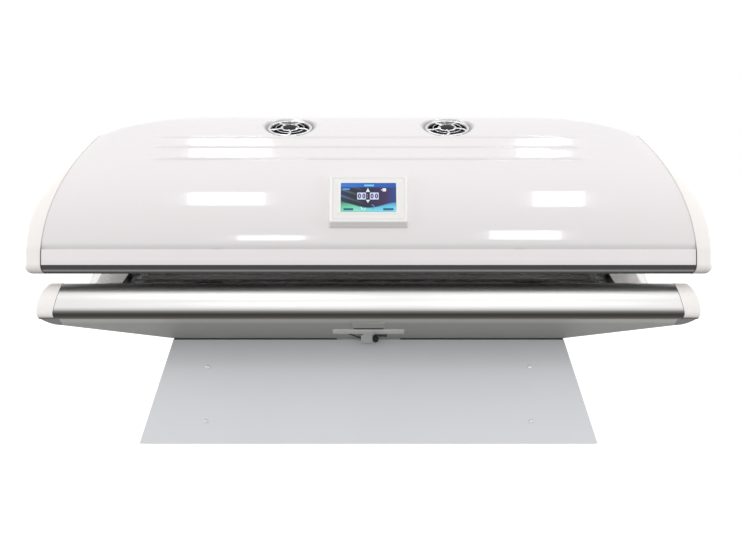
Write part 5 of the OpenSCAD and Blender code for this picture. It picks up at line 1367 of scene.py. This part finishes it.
def buildSpokes(side):
    o = outlet
    rows = []
    start = o["hubTop"] - o["hubDome"]
    for t in (k / 10 for k in range(11)):
        middle = math.sin(math.pi * t)
        r = o["spokeStart"] + (o["ringR"] - o["spokeStart"]) * t
        bend = 0.18 * middle - 0.10
        w = start + (o["ringW"] + 0.0008 - start) * t + 0.0012 * middle
        wide = o["spokeWide"] * (1.25 - 0.5 * middle)
        ring = [(wide * math.cos(a), w + o["spokeThick"] * math.sin(a)) for a in (math.pi * n / 5 for n in range(10))]
        rows.append([(r * math.cos(bend) - y * math.sin(bend), r * math.sin(bend) + y * math.cos(bend), z)
                     for y, z in ring])
    spoke = grow(solidPiece(rows, "chromePlate", 50), "spokes", 50, "chromePlate",
                 Count=o["spokes"], First=o["firstSpoke"])
    spoke.data.transform(onFan(side))
    return spoke


def ringPiece(side, radius, tube, w, steps, flat=0.75):
    turns = [2 * math.pi * k / 14 for k in range(14)]
    profile = [(radius + tube * math.cos(a), w + tube * flat * math.sin(a)) for a in turns]
    return lathePiece(profile, "chromePlate", onFan(side), steps, 60)


def buildGuard(side):
    o = outlet
    dome = [(0.0001, o["hubTop"] + o["domeTop"])]
    dome += [(o["hubR"] * math.sin(a), o["hubTop"] - o["hubDome"] + o["domeHigh"] * math.cos(a))
             for a in (math.radians(d) for d in range(10, 91, 10))]
    dome += [(o["hubR"], o["hubFoot"]), (0.0001, o["hubFoot"])]
    return join("outletGuard", [
        buildSpokes(side), ringPiece(side, o["ringR"], o["ringTube"], o["ringW"], 72),
        ringPiece(side, o["hubRingR"], o["hubTube"], o["hubTop"] - 0.0040, 48),
        ringPiece(side, o["innerRingR"], o["innerRingTube"], o["innerRingW"], 60, 1.0),
        lathePiece(dome, "hubBlack", onFan(side), 48, 50)])


carry(join("outletDishes", [buildDish(-1), buildDish(1)]), "canopy", "fan_rings")
carry(join("outletGuards", [buildGuard(-1), buildGuard(1)]), "canopy", "fan_guards")
print("outlets made")


# room, lights and camera

studio = {
    "floorHalf": 9.0, "worldDiffuse": 0.64, "floorGlow": 0.80,
    "skyMore": 0.455, "skyRise": math.radians(48.0),   # the sky is lighter in front and above
    # over the front: x, where it shines (y, z), height of the ray in degrees, distance, width, length, power
    "softboxes": [
        ("upperLeft", -0.877, (-0.377, 0.701), 55.0, 4.0, 0.474, 0.80, 7.5),
        ("upperRight", 1.163, (-0.377, 0.701), 54.9, 4.0, 0.315, 0.92, 5.8),
        ("lowLeft", -0.600, (-0.4235, 0.5915), 22.7, 4.0, 0.413, 0.384, 3.0),
        ("lowRight", 0.954, (-0.420, 0.6015), 25.3, 4.0, 0.436, 0.545, 4.5),
        ("topLeft", -0.750, (-0.250, 0.830), 106.0, 3.0, 0.44, 2.0, 8.0),
        ("topRight", 0.940, (-0.250, 0.830), 106.0, 3.0, 0.29, 2.0, 5.5),
    ],
    # at the sides: place, what it points at, size, power
    "sideLamps": [
        ("sideLeft", (-3.6, -0.9, 1.0), (-0.9, -0.3, 0.6), 1.6, 42.0),
        ("sideRight", (3.6, -0.9, 1.0), (0.9, -0.3, 0.6), 1.6, 42.0),
    ],
    "camera": (0.0042, -3.735, 1.000), "cameraTilt": -8.69, "lens": 58.45, "sensor": 36.0,
}


def plainView(tree):  # 1 for what the camera sees, also as a reflection or through the clear sheets
    seen = put(tree, "ShaderNodeLightPath").outputs
    return mathNode(tree, "MAXIMUM", seen["Is Camera Ray"],
                    mathNode(tree, "MAXIMUM", seen["Is Glossy Ray"], seen["Is Transmission Ray"]))


def floorFinish():
    material, tree, shader = newMaterial("floorWhite")
    tint = placeGroup(tree, "tint", Colour=light(178, 178, 177), Other=light(174, 174, 174), Scale=0.6)
    feed(tree, shader, {"Base Color": tint["Colour"], "Roughness": 0.7, "Emission Color": white,
                        "Emission Strength": mathNode(tree, "MULTIPLY", plainView(tree), studio["floorGlow"])})
    return material


def buildSky():
    world = bpy.data.worlds.new("studioWorld")
    scene.world = world
    world.use_nodes = True
    tree = world.node_tree
    rise = studio["skyRise"]
    toward = put(tree, "ShaderNodeVectorMath", {0: put(tree, "ShaderNodeTexCoord").outputs["Generated"],
                                                1: (0, -math.cos(rise), math.sin(rise))}, operation="DOT_PRODUCT")
    facing = mathNode(tree, "POWER", mathNode(tree, "MAXIMUM", toward.outputs["Value"], 0.0), 4.0)
    sky = mathNode(tree, "ADD", mathNode(tree, "MULTIPLY", facing, studio["skyMore"]), studio["worldDiffuse"])
    strength = spread(tree, plainView(tree), 0.0, 1.0, sky, 1.0)
    feed(tree, tree.nodes["Background"], {"Color": white, "Strength": strength})


def addLamp(name, place, turn, power, width, length=None):
    lamp = bpy.data.lights.new(name, "AREA")
    lamp.energy, lamp.size = power, width
    if length:
        lamp.shape, lamp.size_y = "RECTANGLE", length
    holder = addObject(name, lamp)
    holder.location, holder.rotation_euler = place, turn


def buildRoom():
    finishes["floorWhite"] = floorFinish()
    half = studio["floorHalf"]
    meshPiece("studioFloor", [(-half, -half, 0), (half, -half, 0), (half, half, 0), (-half, half, 0)],
                       [(0, 1, 2, 3)], "floorWhite")
    buildSky()
    for name, x, (y, z), rise, away, width, length, power in studio["softboxes"]:
        a = math.radians(rise)
        place = (x, y - away * math.cos(a), z + away * math.sin(a))
        addLamp(name, place, (math.pi / 2 - a, 0, 0), power, width, length)
    for name, place, aim, size, power in studio["sideLamps"]:
        addLamp(name, place, (Vector(place) - Vector(aim)).to_track_quat("Z", "Y").to_euler(), power, size)
    camera = bpy.data.cameras.new("studioCamera")
    camera.lens, camera.sensor_width = studio["lens"], studio["sensor"]
    scene.camera = addObject("studioCamera", camera)
    scene.camera.location = studio["camera"]
    scene.camera.rotation_euler = (math.radians(90 + studio["cameraTilt"]), 0, 0)
    scene.view_settings.view_transform = "Standard"


buildRoom()
print("room, lamps and camera set")
